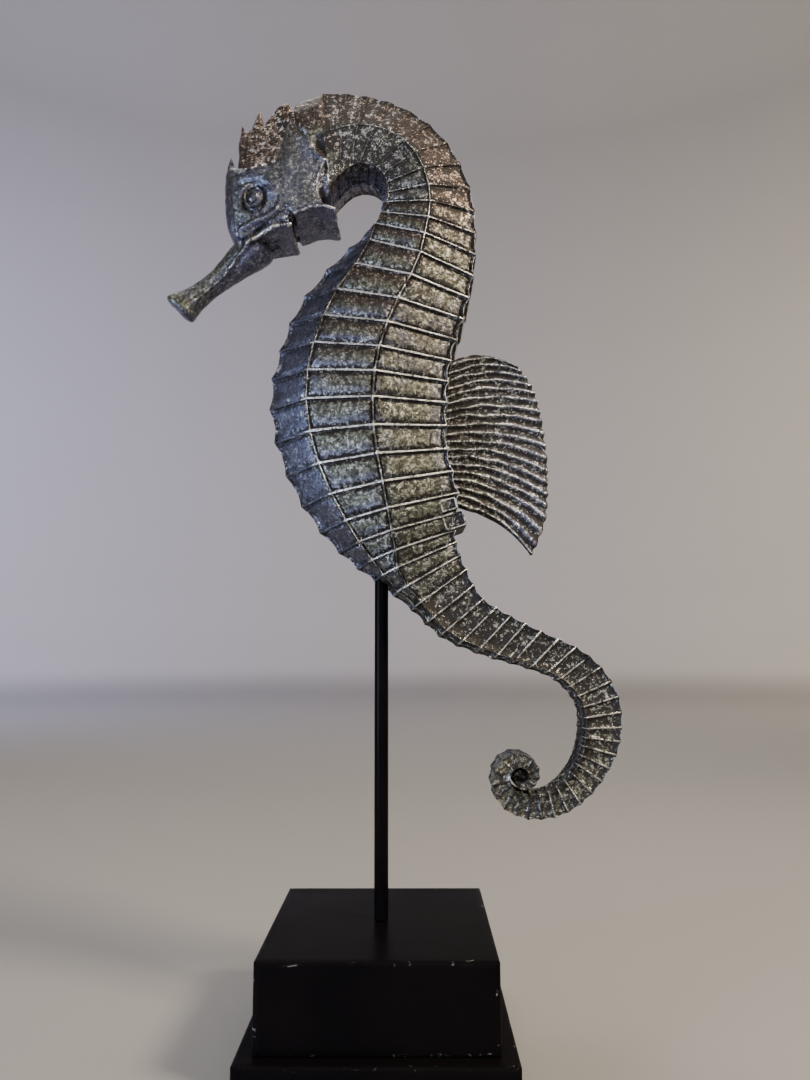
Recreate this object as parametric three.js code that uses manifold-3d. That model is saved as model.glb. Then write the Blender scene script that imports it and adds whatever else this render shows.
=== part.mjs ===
// A seahorse statue: a ringed, silvered seahorse held up by a thin rod in a two-step base.
// Millimetres, +Z up. The seahorse faces -X and its two sides mirror across Y = 0.
// The origin is the middle of the underside of the base.

import * as THREE from 'three';
import { mergeVertices } from 'three/addons/utils/BufferGeometryUtils.js';
import Module from 'manifold-3d';

const wasm = await Module();
wasm.setup();

// ---------------------------------------------------------------- driving sizes

const GAP = 0.3; // clearance between neighbouring pieces

const PLINTH = { side: 145, height: 20, edge: 1.2 };
const BLOCK = { side: 127, height: 46, edge: 1.6 };
const ROD = { radius: 4.2, top: 292, sides: 20 };

// The body is a row of numbered rings, from the nape at 0 to the rump at TAIL_START and on to the
// tail tip. Each station: ring number, centre x, centre z, tilt of the ring plane in degrees
// (the way from belly to back) and half depth in that plane.
const TAIL_START = 25;
const STATIONS = [
  [0, -35, 548, 95, 36],
  [2, -15, 553.5, 77, 28],
  [4, 4.5, 549.5, 55, 25],
  [6, 20.5, 535.5, 30, 25],
  [8, 28.5, 514, 5, 28],
  [10, 28, 492, -12, 32.5],
  [12, 18.5, 470, -19, 41.5],
  [14, 1, 439.5, -13, 51.5],
  [16, -11, 407.5, -7, 54.5],
  [18, -15, 375, -1, 55.5],
  [20, -9.5, 339, 7, 50.5],
  [22, 4.5, 307.5, 14, 43.5],
  [24, 15, 285, 20, 31.5],
  [25, 21, 277.5, 24, 27],
  [27, 35, 260, 36, 20],
  [29, 48.5, 243, 40, 16.8],
  [31, 67.5, 233, 46, 14.8],
  [33, 87, 225, 47, 12.8],
  [35, 107.3, 217.3, 40, 12],
  [37, 121, 207.3, 31, 11.8],
  [39, 129.5, 193, 16, 11.7],
  [41, 130.5, 178, 2, 11.5],
  [43, 128, 165.3, -15, 10.6],
  [45, 122, 152.7, -34, 9.2],
  [47, 112.3, 141.5, -56, 8.2],
  [49, 100, 134.3, -77, 7.3],
  [51, 87, 133.2, -98, 6.9],
];

// The tail ends in a flat spiral: the rings after the last station follow it.
const COIL = {
  x: 83.3,
  z: 149.2,
  firstRing: 53,
  lastRing: 67.5,
  firstAngle: -122,
  turn: -412,
  firstRadius: 14.1,
  lastRadius: 3.2,
  firstHalfDepth: 6.5,
  lastHalfDepth: 1.6,
};

// Half thickness across Y, by ring number.
const HALF_THICKNESS = [
  [0, 23], [8, 25], [12, 28], [17, 32], [21, 30], [25, 22], [29, 16], [35, 14], [53, 13], [68, 8],
];

// The ridges along each side: place between belly (-1) and back (+1), and share of the half thickness.
const FLANK_RIDGE = [
  [0, 0.1], [10, 0.06], [13, 0.2], [17, 0.2], [20, 0.16], [22, 0], [24, -0.2], [26, -0.62], [30, -0.72],
  [36, -0.82], [68, -0.82],
];
const BELLY_RIDGE = [
  [0, -0.86], [10, -0.86], [13, -0.56], [19, -0.54], [24, -0.67], [26, -0.9], [30, -0.92], [68, -0.93],
];
const BACK_RIDGE_SHARE = [[0, 0.62], [17, 0.6], [24, 0.72], [30, 1], [68, 1]];
const BELLY_RIDGE_SHARE = [[0, 0.8], [20, 0.8], [26, 0.7], [68, 0.6]];

// How far the body sinks between two rings, by ring number.
const GROOVE = [[0, 2.4], [14, 3.2], [22, 3], [27, 1.8], [45, 1.1], [68, 0.5]];
const RING_CREST = 0.18; // half width of a ring's crest, in ring spacings

const FIN = { rays: 19, spans: 5, rootHalf: 2.7, edgeHalf: 1.3, wave: 0.8 };

// ---------------------------------------------------------------- interpolation

const degrees = (angle) => THREE.MathUtils.degToRad(angle);

// A smooth curve through [position, value] pairs, flat where it turns.
function along(pairs, at) {
  const last = pairs.length - 1;
  if (at <= pairs[0][0]) return pairs[0][1];
  if (at >= pairs[last][0]) return pairs[last][1];
  const i = pairs.findIndex((pair, k) => k < last && at < pairs[k + 1][0]);
  const slope = (k) => (pairs[k + 1][1] - pairs[k][1]) / (pairs[k + 1][0] - pairs[k][0]);
  const tangent = (k) => {
    if (k === 0 || k === last) return 0;
    const before = slope(k - 1);
    const after = slope(k);
    return before * after <= 0 ? 0 : (2 * before * after) / (before + after);
  };
  const span = pairs[i + 1][0] - pairs[i][0];
  const t = (at - pairs[i][0]) / span;
  const rise = pairs[i][1] * (1 + 2 * t) * (1 - t) ** 2 + pairs[i + 1][1] * t * t * (3 - 2 * t);
  return rise + span * (tangent(i) * t * (1 - t) ** 2 - tangent(i + 1) * t * t * (1 - t));
}

// A station of the spiral at the tail's end.
function coilStation(ring) {
  const share = (ring - COIL.firstRing) / (COIL.lastRing - COIL.firstRing);
  const angle = COIL.firstAngle + COIL.turn * share ** 1.12;
  const radius = THREE.MathUtils.lerp(COIL.firstRadius, COIL.lastRadius, share ** 0.9);
  const x = COIL.x + radius * Math.cos(degrees(angle));
  const z = COIL.z + radius * Math.sin(degrees(angle));
  const halfDepth = THREE.MathUtils.lerp(COIL.firstHalfDepth, COIL.lastHalfDepth, share ** 0.9);
  return [ring, x, z, angle, halfDepth];
}

const COIL_STEPS = 8;
const ROUTE = [...STATIONS];
for (let step = 0; step <= COIL_STEPS; step += 1) {
  ROUTE.push(coilStation(THREE.MathUtils.lerp(COIL.firstRing, COIL.lastRing, step / COIL_STEPS)));
}

// Centre, tilt and half depth at any ring number, by a Hermite curve through the stations.
function station(ring) {
  const last = ROUTE.length - 1;
  let i = ROUTE.findIndex((row, k) => k < last && ring < ROUTE[k + 1][0]);
  if (i < 0) i = last - 1;
  const span = ROUTE[i + 1][0] - ROUTE[i][0];
  const t = (ring - ROUTE[i][0]) / span;
  const slope = (k, column) => {
    const low = Math.max(k - 1, 0);
    const high = Math.min(k + 1, last);
    return (ROUTE[high][column] - ROUTE[low][column]) / (ROUTE[high][0] - ROUTE[low][0]);
  };
  const value = (column) => {
    const start = ROUTE[i][column] * (1 + 2 * t) * (1 - t) ** 2;
    const end = ROUTE[i + 1][column] * t * t * (3 - 2 * t);
    const pull = slope(i, column) * t * (1 - t) ** 2 - slope(i + 1, column) * t * t * (1 - t);
    return start + end + span * pull;
  };
  return { x: value(1), z: value(2), tilt: degrees(value(3)), halfDepth: value(4) };
}

// ---------------------------------------------------------------- solids

// A closed solid from a row of outlines with the same number of points, capped at both ends.
function loft(outlines) {
  const count = outlines[0].length;
  const points = outlines.flat();
  const faces = [];
  for (let row = 0; row + 1 < outlines.length; row += 1) {
    for (let k = 0; k < count; k += 1) {
      const a = row * count + k;
      const b = row * count + ((k + 1) % count);
      faces.push([a, b, b + count], [a, b + count, a + count]);
    }
  }
  for (const row of [0, outlines.length - 1]) {
    const middle = new THREE.Vector3();
    outlines[row].forEach((point) => middle.addScaledVector(point, 1 / count));
    const hub = points.push(middle) - 1;
    for (let k = 0; k < count; k += 1) {
      const a = row * count + k;
      const b = row * count + ((k + 1) % count);
      faces.push(row === 0 ? [b, a, hub] : [a, b, hub]);
    }
  }
  let volume = 0;
  for (const [a, b, c] of faces) {
    volume += points[a].dot(new THREE.Vector3().crossVectors(points[b], points[c]));
  }
  if (volume < 0) faces.forEach((face) => face.reverse());
  const geometry = new THREE.BufferGeometry();
  const numbers = points.flatMap((point) => [point.x, point.y, point.z]);
  geometry.setAttribute('position', new THREE.Float32BufferAttribute(numbers, 3));
  geometry.setIndex(faces.flat());
  return geometry;
}

function toSolid(geometry) {
  const bare = geometry.clone();
  bare.deleteAttribute('normal');
  bare.deleteAttribute('uv');
  const merged = mergeVertices(bare, 1e-4);
  const vertProperties = new Float32Array(merged.attributes.position.array);
  const triVerts = new Uint32Array(merged.index.array);
  return new wasm.Manifold(new wasm.Mesh({ numProp: 3, vertProperties, triVerts }));
}

function toGeometry(solid) {
  const mesh = solid.getMesh();
  const geometry = new THREE.BufferGeometry();
  geometry.setAttribute('position', new THREE.Float32BufferAttribute(mesh.vertProperties, 3));
  geometry.setIndex([...mesh.triVerts]);
  return geometry;
}

function cut(geometry, ...tools) {
  const solid = tools.reduce((rest, tool) => rest.subtract(toSolid(tool)), toSolid(geometry));
  return toGeometry(solid);
}

function join(...geometries) {
  const solids = geometries.map(toSolid);
  return toGeometry(solids.reduce((whole, next) => whole.add(next)));
}

// A plate in the X-Z plane: outline points, half thickness across Y, a bevelled rim and a clearance.
function plate(outline, half, bevel, grow = 0) {
  const shape = new THREE.Shape(outline.map(([x, z]) => new THREE.Vector2(x, z)));
  const geometry = new THREE.ExtrudeGeometry(shape, {
    depth: 2 * (half - bevel),
    bevelThickness: bevel + grow,
    bevelSize: bevel,
    bevelOffset: grow - bevel,
    bevelSegments: 1,
  });
  geometry.translate(0, 0, -(half - bevel));
  geometry.rotateX(Math.PI / 2);
  return geometry;
}

// A square step of the base with its upright edges and its rims eased.
function step(side, bottom, height, edge) {
  const square = (inset, z) => {
    const outer = side / 2 - inset;
    const inner = outer - edge;
    const corners = [[outer, inner], [inner, outer], [-inner, outer], [-outer, inner]];
    const opposite = corners.map(([x, y]) => [-x, -y]);
    return [...corners, ...opposite].map(([x, y]) => new THREE.Vector3(x, y, z));
  };
  const top = bottom + height;
  return loft([square(edge, bottom), square(0, bottom + edge), square(0, top - edge), square(edge, top)]);
}

// ---------------------------------------------------------------- ringed body

// One outline of the body: crest 1 on a ring and 0 in the groove between rings.
function bodyOutline(ring, crest, grow = 0, shift = 0) {
  const { x, z, tilt, halfDepth } = station(ring);
  const groove = (1 - crest) * along(GROOVE, ring);
  const reach = halfDepth - groove + grow;
  const half = along(HALF_THICKNESS, ring) - 0.45 * groove + grow;
  const point = (depth, y) => new THREE.Vector3(
    x + depth * Math.cos(tilt) - shift * Math.sin(tilt),
    y,
    z + depth * Math.sin(tilt) + shift * Math.cos(tilt),
  );
  const bellyY = half * along(BELLY_RIDGE_SHARE, ring);
  const backY = half * along(BACK_RIDGE_SHARE, ring);
  const belly = reach * along(BELLY_RIDGE, ring);
  const flank = reach * along(FLANK_RIDGE, ring);
  return [
    point(-reach, 0),
    point(belly, -bellyY),
    point(flank, -half),
    point(reach, -backY),
    point(reach, backY),
    point(flank, half),
    point(belly, bellyY),
  ];
}

// A length of the body between two rings, its end faces drawn in by half the clearance.
function bodyLength(first, last, grow = 0) {
  const inset = GAP / 2 - grow;
  const outlines = [bodyOutline(first, 1, grow, -inset)];
  for (let ring = Math.floor(first); ring < last; ring += 1) {
    if (ring > first) outlines.push(bodyOutline(ring, 1, grow));
    for (const place of [ring + RING_CREST, ring + 1 - RING_CREST]) {
      if (place > first && place < last) outlines.push(bodyOutline(place, 0, grow));
    }
  }
  outlines.push(bodyOutline(last, 1, grow, inset));
  return loft(outlines);
}

// ---------------------------------------------------------------- head

// Skull stations: x, underside z, top z, half width.
const SKULL = [
  [-102.5, 508, 537, 6.5],
  [-99.5, 492, 543, 9.5],
  [-96, 486, 537, 12.5],
  [-92, 483, 538, 15],
  [-84, 481, 542, 17.5],
  [-73, 486, 550, 19.5],
  [-62, 491, 570, 20.5],
  [-46, 499, 580, 21],
  [-33, 509, 583, 21.5],
];

function skull(grow = 0) {
  return loft(SKULL.map(([x, low, high, half], index) => {
    const end = index === 0 ? -grow : index === SKULL.length - 1 ? grow : 0;
    const height = high - low;
    const side = [
      [0.72 * half, low - grow],
      [half + grow, low + 0.2 * height],
      [half + grow, low + 0.62 * height],
      [0.86 * half + grow, low + 0.82 * height],
      [0.56 * half, high + grow],
    ];
    const other = side.map(([y, z]) => [-y, z]).reverse();
    return [...side, ...other].map(([y, z]) => new THREE.Vector3(x + end, y, z));
  }));
}

// The room behind the head, taken up by the neck: its front face lies on the nape's ring plane.
function napeRoom() {
  const { x, z, tilt } = station(0);
  const size = 84;
  const geometry = new THREE.BoxGeometry(size, size, size);
  geometry.translate(size / 2 - GAP / 2, 0, 3);
  geometry.rotateY(Math.PI / 2 - tilt);
  geometry.translate(x, 0, z);
  return geometry;
}

// The cheek and chin keep the skull's full width, with a thorn at each hind corner.
function cheeks(grow = 0) {
  const gillCover = plate(
    [[-66, 533], [-37, 533], [-41, 520], [-40, 508], [-29, 500.5], [-40, 501.5], [-54, 497], [-70, 505]],
    22,
    1.5,
    grow,
  );
  const chin = plate(
    [[-93, 487], [-86, 480.5], [-78, 485], [-69, 488.5], [-56, 489], [-58, 498], [-74, 505]],
    20,
    1.5,
    grow,
  );
  return [gillCover, chin];
}

// Snout stations along its axis: centre x, centre z, half depth, half width.
const SNOUT_TILT = degrees(-46);
const SNOUT = [
  [-131.5, 442, 11.6, 9.5],
  [-129, 444.5, 11.6, 10],
  [-122, 450, 8.4, 7.8],
  [-112, 457.5, 6.8, 7],
  [-103, 465, 7.8, 8],
  [-95, 472.5, 10, 10],
  [-86, 480.5, 12, 13],
];

function snout() {
  const sides = 12;
  return loft(SNOUT.map(([x, z, depth, width]) => {
    const outline = [];
    for (let k = 0; k < sides; k += 1) {
      const turn = (2 * Math.PI * k) / sides;
      const rise = depth * Math.cos(turn);
      outline.push(new THREE.Vector3(
        x + rise * Math.sin(SNOUT_TILT),
        width * Math.sin(turn),
        z + rise * Math.cos(SNOUT_TILT),
      ));
    }
    return outline;
  }));
}

// The crown: a hammered turret with thorns along its rim.
function coronet() {
  const outline = [
    [-94, 530], [-94.5, 545], [-93.5, 556], [-92, 562], [-90.5, 566], [-88, 561], [-84, 565.5],
    [-80.5, 573.5], [-78, 569], [-71, 571.5], [-67.5, 578], [-65, 581], [-60.5, 580.5], [-58, 575],
    [-56, 560], [-56, 540],
  ];
  return plate(outline, 11, 2);
}

const EYE = { x: -81.5, z: 510.5, y: 18.3, ring: 7.4, ball: 4.2, squash: 0.86, sides: 20 };

// An eye: a ball inside a raised rim, turned about the Y axis. side is -1 or 1.
function eye(side, grow = 0) {
  const outline = [
    [0, -3 - grow],
    [EYE.ring + grow, -3 - grow],
    [EYE.ring + grow, 0.6 + grow],
    [EYE.ring - 1.2, 2 + grow],
    [EYE.ball + 0.6, 1.1 + grow],
    [EYE.ball, 1.3 + grow],
    [EYE.ball * 0.7, 2.6 + grow],
    [0, 3.2 + grow],
  ];
  const geometry = new THREE.LatheGeometry(outline.map(([r, h]) => new THREE.Vector2(r, h)), EYE.sides);
  geometry.scale(EYE.squash, 1, 1);
  if (side < 0) geometry.rotateX(Math.PI);
  geometry.translate(EYE.x, side * EYE.y, EYE.z);
  return geometry;
}

// ---------------------------------------------------------------- dorsal fin

// The fin is ruled by rays from the back to the rim; its faces rise and fall from ray to ray.
const FIN_TOP = [[31, 399], [62, 420], [86, 403]];
const FIN_FOOT = [[35, 314], [73, 311], [92.5, 282]];
const FIN_RIM = [[86, 403], [95.5, 389], [101, 366], [103.8, 336], [102.5, 308], [92.5, 282]];

function dorsalFin() {
  const rim = new THREE.CatmullRomCurve3(FIN_RIM.map(([x, z]) => new THREE.Vector3(x, 0, z)));
  const rows = 2 * FIN.rays;
  const outlines = [];
  for (let row = 0; row <= rows; row += 1) {
    const share = row / rows;
    const blend = (k) => new THREE.Vector3(
      THREE.MathUtils.lerp(FIN_TOP[k][0], FIN_FOOT[k][0], share),
      0,
      THREE.MathUtils.lerp(FIN_TOP[k][1], FIN_FOOT[k][1], share),
    );
    const ray = new THREE.QuadraticBezierCurve3(blend(0), blend(1), rim.getPoint(share));
    const crest = row % 2 === 1 ? 1 : 0;
    const near = [];
    const far = [];
    for (let span = 0; span <= FIN.spans; span += 1) {
      const t = span / FIN.spans;
      const point = ray.getPoint(t);
      const half = THREE.MathUtils.lerp(FIN.rootHalf, FIN.edgeHalf, t) + FIN.wave * crest;
      near.push(new THREE.Vector3(point.x, -half, point.z));
      far.unshift(new THREE.Vector3(point.x, half, point.z));
    }
    outlines.push([...near, ...far]);
  }
  return loft(outlines);
}

// ---------------------------------------------------------------- the statue

const SILVER = { color: 0x9b978c, roughness: 0.42, metalness: 0.85 };
const COPPER = { color: 0x7c6a5d, roughness: 0.45, metalness: 0.8 };
const BLACK = { color: 0x17161a, roughness: 0.5, metalness: 0.05 };

const statue = new THREE.Group();

function add(name, geometry, finish) {
  const mesh = new THREE.Mesh(geometry, new THREE.MeshStandardMaterial(finish));
  mesh.name = name;
  statue.add(mesh);
}

// Body lengths: name, first ring, last ring.
const LENGTHS = [
  ['neck_crown', 0, 5],
  ['neck_nape', 5, 10],
  ['trunk_chest', 10, 18],
  ['trunk_belly', 18, TAIL_START],
  ['tail_root', TAIL_START, 31],
  ['tail_middle', 31, 37],
  ['tail_bend', 37, 43],
  ['tail_hook', 43, 51],
  ['tail_coil', 51, COIL.lastRing],
];

const rod = (bottom, top, radius) => {
  const geometry = new THREE.CylinderGeometry(radius, radius, top - bottom, ROD.sides);
  geometry.rotateX(Math.PI / 2);
  geometry.translate(0, 0, (top + bottom) / 2);
  return geometry;
};

for (const [name, first, last] of LENGTHS) {
  const length = bodyLength(first, last);
  const drilled = name === 'trunk_belly' || name === 'tail_root';
  add(name, drilled ? cut(length, rod(0, ROD.top + GAP, ROD.radius + GAP)) : length, SILVER);
}

const eyeSockets = [eye(-1, GAP), eye(1, GAP)];
add('head', cut(join(skull(), ...cheeks()), napeRoom(), ...eyeSockets), SILVER);
add('snout', cut(snout(), skull(GAP), ...cheeks(GAP)), SILVER);
add('coronet', cut(coronet(), skull(GAP)), COPPER);
add('eye_left', eye(-1), SILVER);
add('eye_right', eye(1), SILVER);
add('dorsal_fin', cut(dorsalFin(), bodyLength(10, 18, 2 * GAP), bodyLength(18, TAIL_START, 2 * GAP)), SILVER);

const blockTop = PLINTH.height + BLOCK.height;
add('stand_plinth', step(PLINTH.side, 0, PLINTH.height - GAP, PLINTH.edge), BLACK);
add('stand_block', step(BLOCK.side, PLINTH.height, BLOCK.height, BLOCK.edge), BLACK);
add('stand_rod', rod(blockTop + GAP, ROD.top, ROD.radius), BLACK);

export default statue;
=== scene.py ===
"""A seahorse statue in antiqued silver leaf, held up by a thin black rod in a two-step black base."""

import math

import bmesh
import bpy
import numpy as np
from mathutils import Matrix, Vector


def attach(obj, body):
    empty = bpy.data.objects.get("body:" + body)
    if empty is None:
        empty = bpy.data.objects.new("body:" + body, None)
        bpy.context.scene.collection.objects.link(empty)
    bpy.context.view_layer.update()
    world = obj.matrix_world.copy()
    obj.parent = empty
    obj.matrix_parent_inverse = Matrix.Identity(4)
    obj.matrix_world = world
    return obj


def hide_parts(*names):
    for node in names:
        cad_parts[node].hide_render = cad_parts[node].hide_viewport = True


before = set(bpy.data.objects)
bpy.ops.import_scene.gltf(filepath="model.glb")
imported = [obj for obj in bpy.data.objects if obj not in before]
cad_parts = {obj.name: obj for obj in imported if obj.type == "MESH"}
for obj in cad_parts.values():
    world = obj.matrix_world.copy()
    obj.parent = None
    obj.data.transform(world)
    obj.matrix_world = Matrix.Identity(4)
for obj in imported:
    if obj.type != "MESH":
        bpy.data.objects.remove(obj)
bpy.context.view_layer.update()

MM = 0.001

# ------------ camera

CAMERA_PLACE = (18.6, -502.3, 228.4)
CAMERA_TURN = (97.19, 0.16, 0.47)
CAMERA_LENS = 27.03


def set_camera():
    turn = [math.radians(value) for value in CAMERA_TURN]
    bpy.ops.object.camera_add(location=[value * MM for value in CAMERA_PLACE], rotation=turn)
    camera = bpy.context.object
    camera.data.sensor_fit = "AUTO"
    camera.data.sensor_width = 36
    camera.data.lens = CAMERA_LENS
    camera.data.clip_start = 0.01
    camera.data.clip_end = 30
    bpy.context.scene.camera = camera


# ------------ handling a mesh

def clear_selection():
    if bpy.context.object and bpy.context.object.mode != "OBJECT":
        bpy.ops.object.mode_set(mode="OBJECT")
    bpy.ops.object.select_all(action="DESELECT")


def take(piece):
    """Makes the piece the only one selected, and the active one."""
    clear_selection()
    piece.select_set(True)
    bpy.context.view_layer.objects.active = piece


def start(add, name="part", **settings):
    """Adds one of the plain shapes, to build on."""
    clear_selection()
    add(**settings)
    bpy.context.object.name = name
    return bpy.context.object


def edit(piece, kind="VERT"):
    take(piece)
    bpy.ops.object.mode_set(mode="EDIT")
    bpy.ops.mesh.select_mode(type=kind)
    return bmesh.from_edit_mesh(piece.data)


def rest(piece):
    """Back to object mode, with the piece's place in its mesh."""
    bpy.ops.object.mode_set(mode="OBJECT")
    take(piece)
    bpy.ops.object.transform_apply(location=True, rotation=True, scale=True)


def select_all(kind=None):
    if kind:
        bpy.ops.mesh.select_mode(type=kind)
    bpy.ops.mesh.select_all(action="SELECT")


def close_up(piece, inside=False):
    """Ends the work on a piece, with all its faces turned the same way."""
    select_all()
    bpy.ops.mesh.normals_make_consistent(inside=inside)
    rest(piece)


def pick(piece, wanted, kind="verts"):
    """Selects only the wanted vertices, edges or faces."""
    mesh = bmesh.from_edit_mesh(piece.data)
    bpy.ops.mesh.select_all(action="DESELECT")
    for item in getattr(mesh, kind):
        if wanted(item):
            item.select = True
    mesh.select_flush_mode()
    bmesh.update_edit_mesh(piece.data)


def pick_numbers(piece, chosen, kind="faces"):
    pick(piece, lambda item: item.index in chosen, kind)


def push_out(move):
    """Draws what is selected out of the piece."""
    bpy.ops.mesh.extrude_region_move(TRANSFORM_OT_translate={"value": move})


def stretch(size, centre, axes=None):
    """Scales what is selected about a centre, along the given axes or the world's."""
    turned = {"orient_type": "GLOBAL", "orient_matrix": axes, "orient_matrix_type": "GLOBAL"} if axes else {}
    bpy.ops.transform.resize(value=size, center_override=centre, **turned)


def inset(thickness, depth=0, each=True):
    bpy.ops.mesh.inset(thickness=thickness * MM, depth=depth * MM, use_individual=each)


def crease(edges, corners):
    bpy.ops.transform.edge_crease(value=edges)
    bpy.ops.transform.vert_crease(value=corners)


def finish_with(piece, kind, **settings):
    """Adds a modifier with its settings and applies it."""
    take(piece)
    modifier = piece.modifiers.new(kind.title(), kind)
    for name, value in settings.items():
        setattr(modifier, name, value)
    bpy.ops.object.modifier_apply(modifier=modifier.name)


def round_off(piece, levels):
    finish_with(piece, "SUBSURF", levels=levels, render_levels=levels)


def join(whole, piece):
    take(whole)
    piece.select_set(True)
    bpy.ops.object.join()


def move_to(piece, spots):
    """Puts the piece's points at the given places, in their order."""
    mesh = bmesh.from_edit_mesh(piece.data)
    mesh.verts.ensure_lookup_table()
    for vert, spot in zip(mesh.verts, spots):
        vert.co = Vector(spot) * MM
    bmesh.update_edit_mesh(piece.data)


def start_outline(spots, name="part"):
    """A flat face cut to an outline, ready to be drawn out."""
    piece = start(
        bpy.ops.mesh.primitive_circle_add, name, vertices=len(spots), radius=0.01, fill_type="NGON",
    )
    edit(piece)
    move_to(piece, spots)
    select_all("FACE")
    return piece


def draw_through(stations, axes=None):
    """Draws what is selected out through a row of stations: at each a centre, and the size there."""
    for (here, size), (there, new_size) in zip(stations, stations[1:]):
        push_out(Vector([after - now for now, after in zip(here, there)]) * MM)
        stretch([after / now for now, after in zip(size, new_size)], Vector(there) * MM, axes)


def roughen(piece, kind, size, height, group=""):
    """Gives the surface an uneven hand-cast skin."""
    texture = bpy.data.textures.new(piece.name + "_" + kind.lower(), kind)
    texture.noise_scale = size * MM
    finish_with(
        piece, "DISPLACE", texture=texture, texture_coords="LOCAL", strength=height * MM, mid_level=0.5,
        vertex_group=group,
    )


# ------------ numbers at the points of a piece

def read(items, name, width=1, kind=float):
    """One property of every point, edge or face."""
    values = np.empty(width * len(items), dtype=kind)
    items.foreach_get(name, values)
    return values.reshape(-1, width) if width > 1 else values


def places(piece):
    return read(piece.data.vertices, "co", 3)


def edge_ends(piece):
    return read(piece.data.edges, "vertices", 2, np.int64)


def values_of(piece, name):
    return read(piece.data.attributes[name].data, "value")


def set_values(piece, name, values):
    """Keeps one number for each point of the piece, for its finish to read."""
    layer = piece.data.attributes.get(name) or piece.data.attributes.new(name, "FLOAT", "POINT")
    layer.data.foreach_set("value", np.asarray(values, dtype=np.float32))


def weigh(piece, name, weights):
    """Gives each point its weight in a vertex group, as if painted on."""
    group = piece.vertex_groups.get(name) or piece.vertex_groups.new(name=name)
    for index, weight in enumerate(weights):
        if weight > 0.001:
            group.add([index], float(weight), "REPLACE")


def ramp(values, none_at, full_at):
    """0 at one value, 1 at the other, and an even slope between them."""
    return np.clip((values - none_at) / (full_at - none_at), 0, 1)


def look_up(numbers, pairs):
    """Reads a list of (position, value) pairs at many positions, with straight lines between."""
    return np.interp(numbers, *zip(*pairs))


def is_among(numbers, ends):
    return (numbers > ends[0]) & (numbers < ends[1])


def mix(first, last, share):
    return first + (last - first) * share


def ease(first, last, span, first_slope, last_slope, t):
    """A smooth step from one value to the next, with a set slope at each end."""
    rise = first * (1 + 2 * t) * (1 - t) ** 2 + last * t * t * (3 - 2 * t)
    return rise + span * (first_slope * t * (1 - t) ** 2 - last_slope * t * t * (1 - t))


def along(pairs, at):
    """A smooth curve through (position, value) pairs, flat where it turns."""
    last = len(pairs) - 1
    if at <= pairs[0][0]:
        return pairs[0][1]
    if at >= pairs[last][0]:
        return pairs[last][1]
    i = next(k for k in range(last) if at < pairs[k + 1][0])
    slopes = [(after[1] - now[1]) / (after[0] - now[0]) for now, after in zip(pairs, pairs[1:])]

    def tangent(k):
        if k in (0, last) or slopes[k - 1] * slopes[k] <= 0:
            return 0
        return 2 * slopes[k - 1] * slopes[k] / (slopes[k - 1] + slopes[k])

    span = pairs[i + 1][0] - pairs[i][0]
    t = (at - pairs[i][0]) / span
    return ease(pairs[i][1], pairs[i + 1][1], span, tangent(i), tangent(i + 1), t)


# ------------ the ringed body's lines, in millimetres

# The body is a row of numbered rings, from the nape at 0 to the rump at 25 and on to the tail tip.
# Each station: ring number, centre x, centre z, tilt of the ring plane in degrees (the way from
# belly to back) and half depth in that plane.
STATIONS = [
    (0, -35, 548, 95, 36),
    (2, -15, 553.5, 77, 28),
    (4, 4.5, 549.5, 55, 25),
    (6, 20.5, 535.5, 30, 25),
    (8, 28.5, 514, 5, 28),
    (10, 28, 492, -12, 32.5),
    (12, 18.5, 470, -19, 41.5),
    (14, 1, 439.5, -13, 51.5),
    (16, -11, 407.5, -7, 54.5),
    (18, -15, 375, -1, 55.5),
    (20, -9.5, 339, 7, 50.5),
    (22, 4.5, 307.5, 14, 43.5),
    (24, 15, 285, 20, 31.5),
    (25, 21, 277.5, 24, 27),
    (27, 35, 260, 36, 20),
    (29, 48.5, 243, 40, 16.8),
    (31, 67.5, 233, 46, 14.8),
    (33, 87, 225, 47, 12.8),
    (35, 107.3, 217.3, 40, 12),
    (37, 121, 207.3, 31, 11.8),
    (39, 129.5, 193, 16, 11.7),
    (41, 130.5, 178, 2, 11.5),
    (43, 128, 165.3, -15, 10.6),
    (45, 122, 152.7, -34, 9.2),
    (47, 112.3, 141.5, -56, 8.2),
    (49, 100, 134.3, -77, 7.3),
    (51, 87, 133.2, -98, 6.9),
]
FIRST_RING = 0
LAST_RING = 67

# The tail ends in a flat spiral: the rings after the last station follow it.
COIL_CENTRE = (83.3, 149.2)
COIL_RINGS = (53, 67.5)
COIL_FIRST_ANGLE = -122
COIL_TURNS_LATE = 1.12
COIL_NARROWS_EARLY = 0.9
COIL_TURN = -412
COIL_RADII = (14.1, 3.2)
COIL_HALF_DEPTHS = (6.5, 1.6)
COIL_STEPS = 8
COIL_WEB = (6, 4, 6)
TIP_SHARE = 0.6

HALF_THICKNESS = [
    (0, 23), (8, 25), (12, 28), (17, 32), (21, 30), (25, 22), (29, 16), (35, 14), (53, 13), (68, 8),
]

# The ridges along each side: place between belly (-1) and back (+1), and share of the half thickness.
FLANK_RIDGE = [
    (0, 0.1), (10, 0.06), (13, 0.2), (17, 0.2), (20, 0.16), (22, 0), (24, -0.2), (26, -0.62),
    (30, -0.72), (36, -0.82), (68, -0.82),
]
BELLY_RIDGE = [
    (0, -0.86), (10, -0.86), (13, -0.56), (19, -0.54), (24, -0.67), (26, -0.9), (30, -0.92), (68, -0.93),
]
BACK_SHARE = [(0, 0.62), (17, 0.6), (24, 0.72), (30, 1), (68, 1)]
BELLY_SHARE = [(0, 0.8), (20, 0.8), (26, 0.7), (68, 0.6)]

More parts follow.
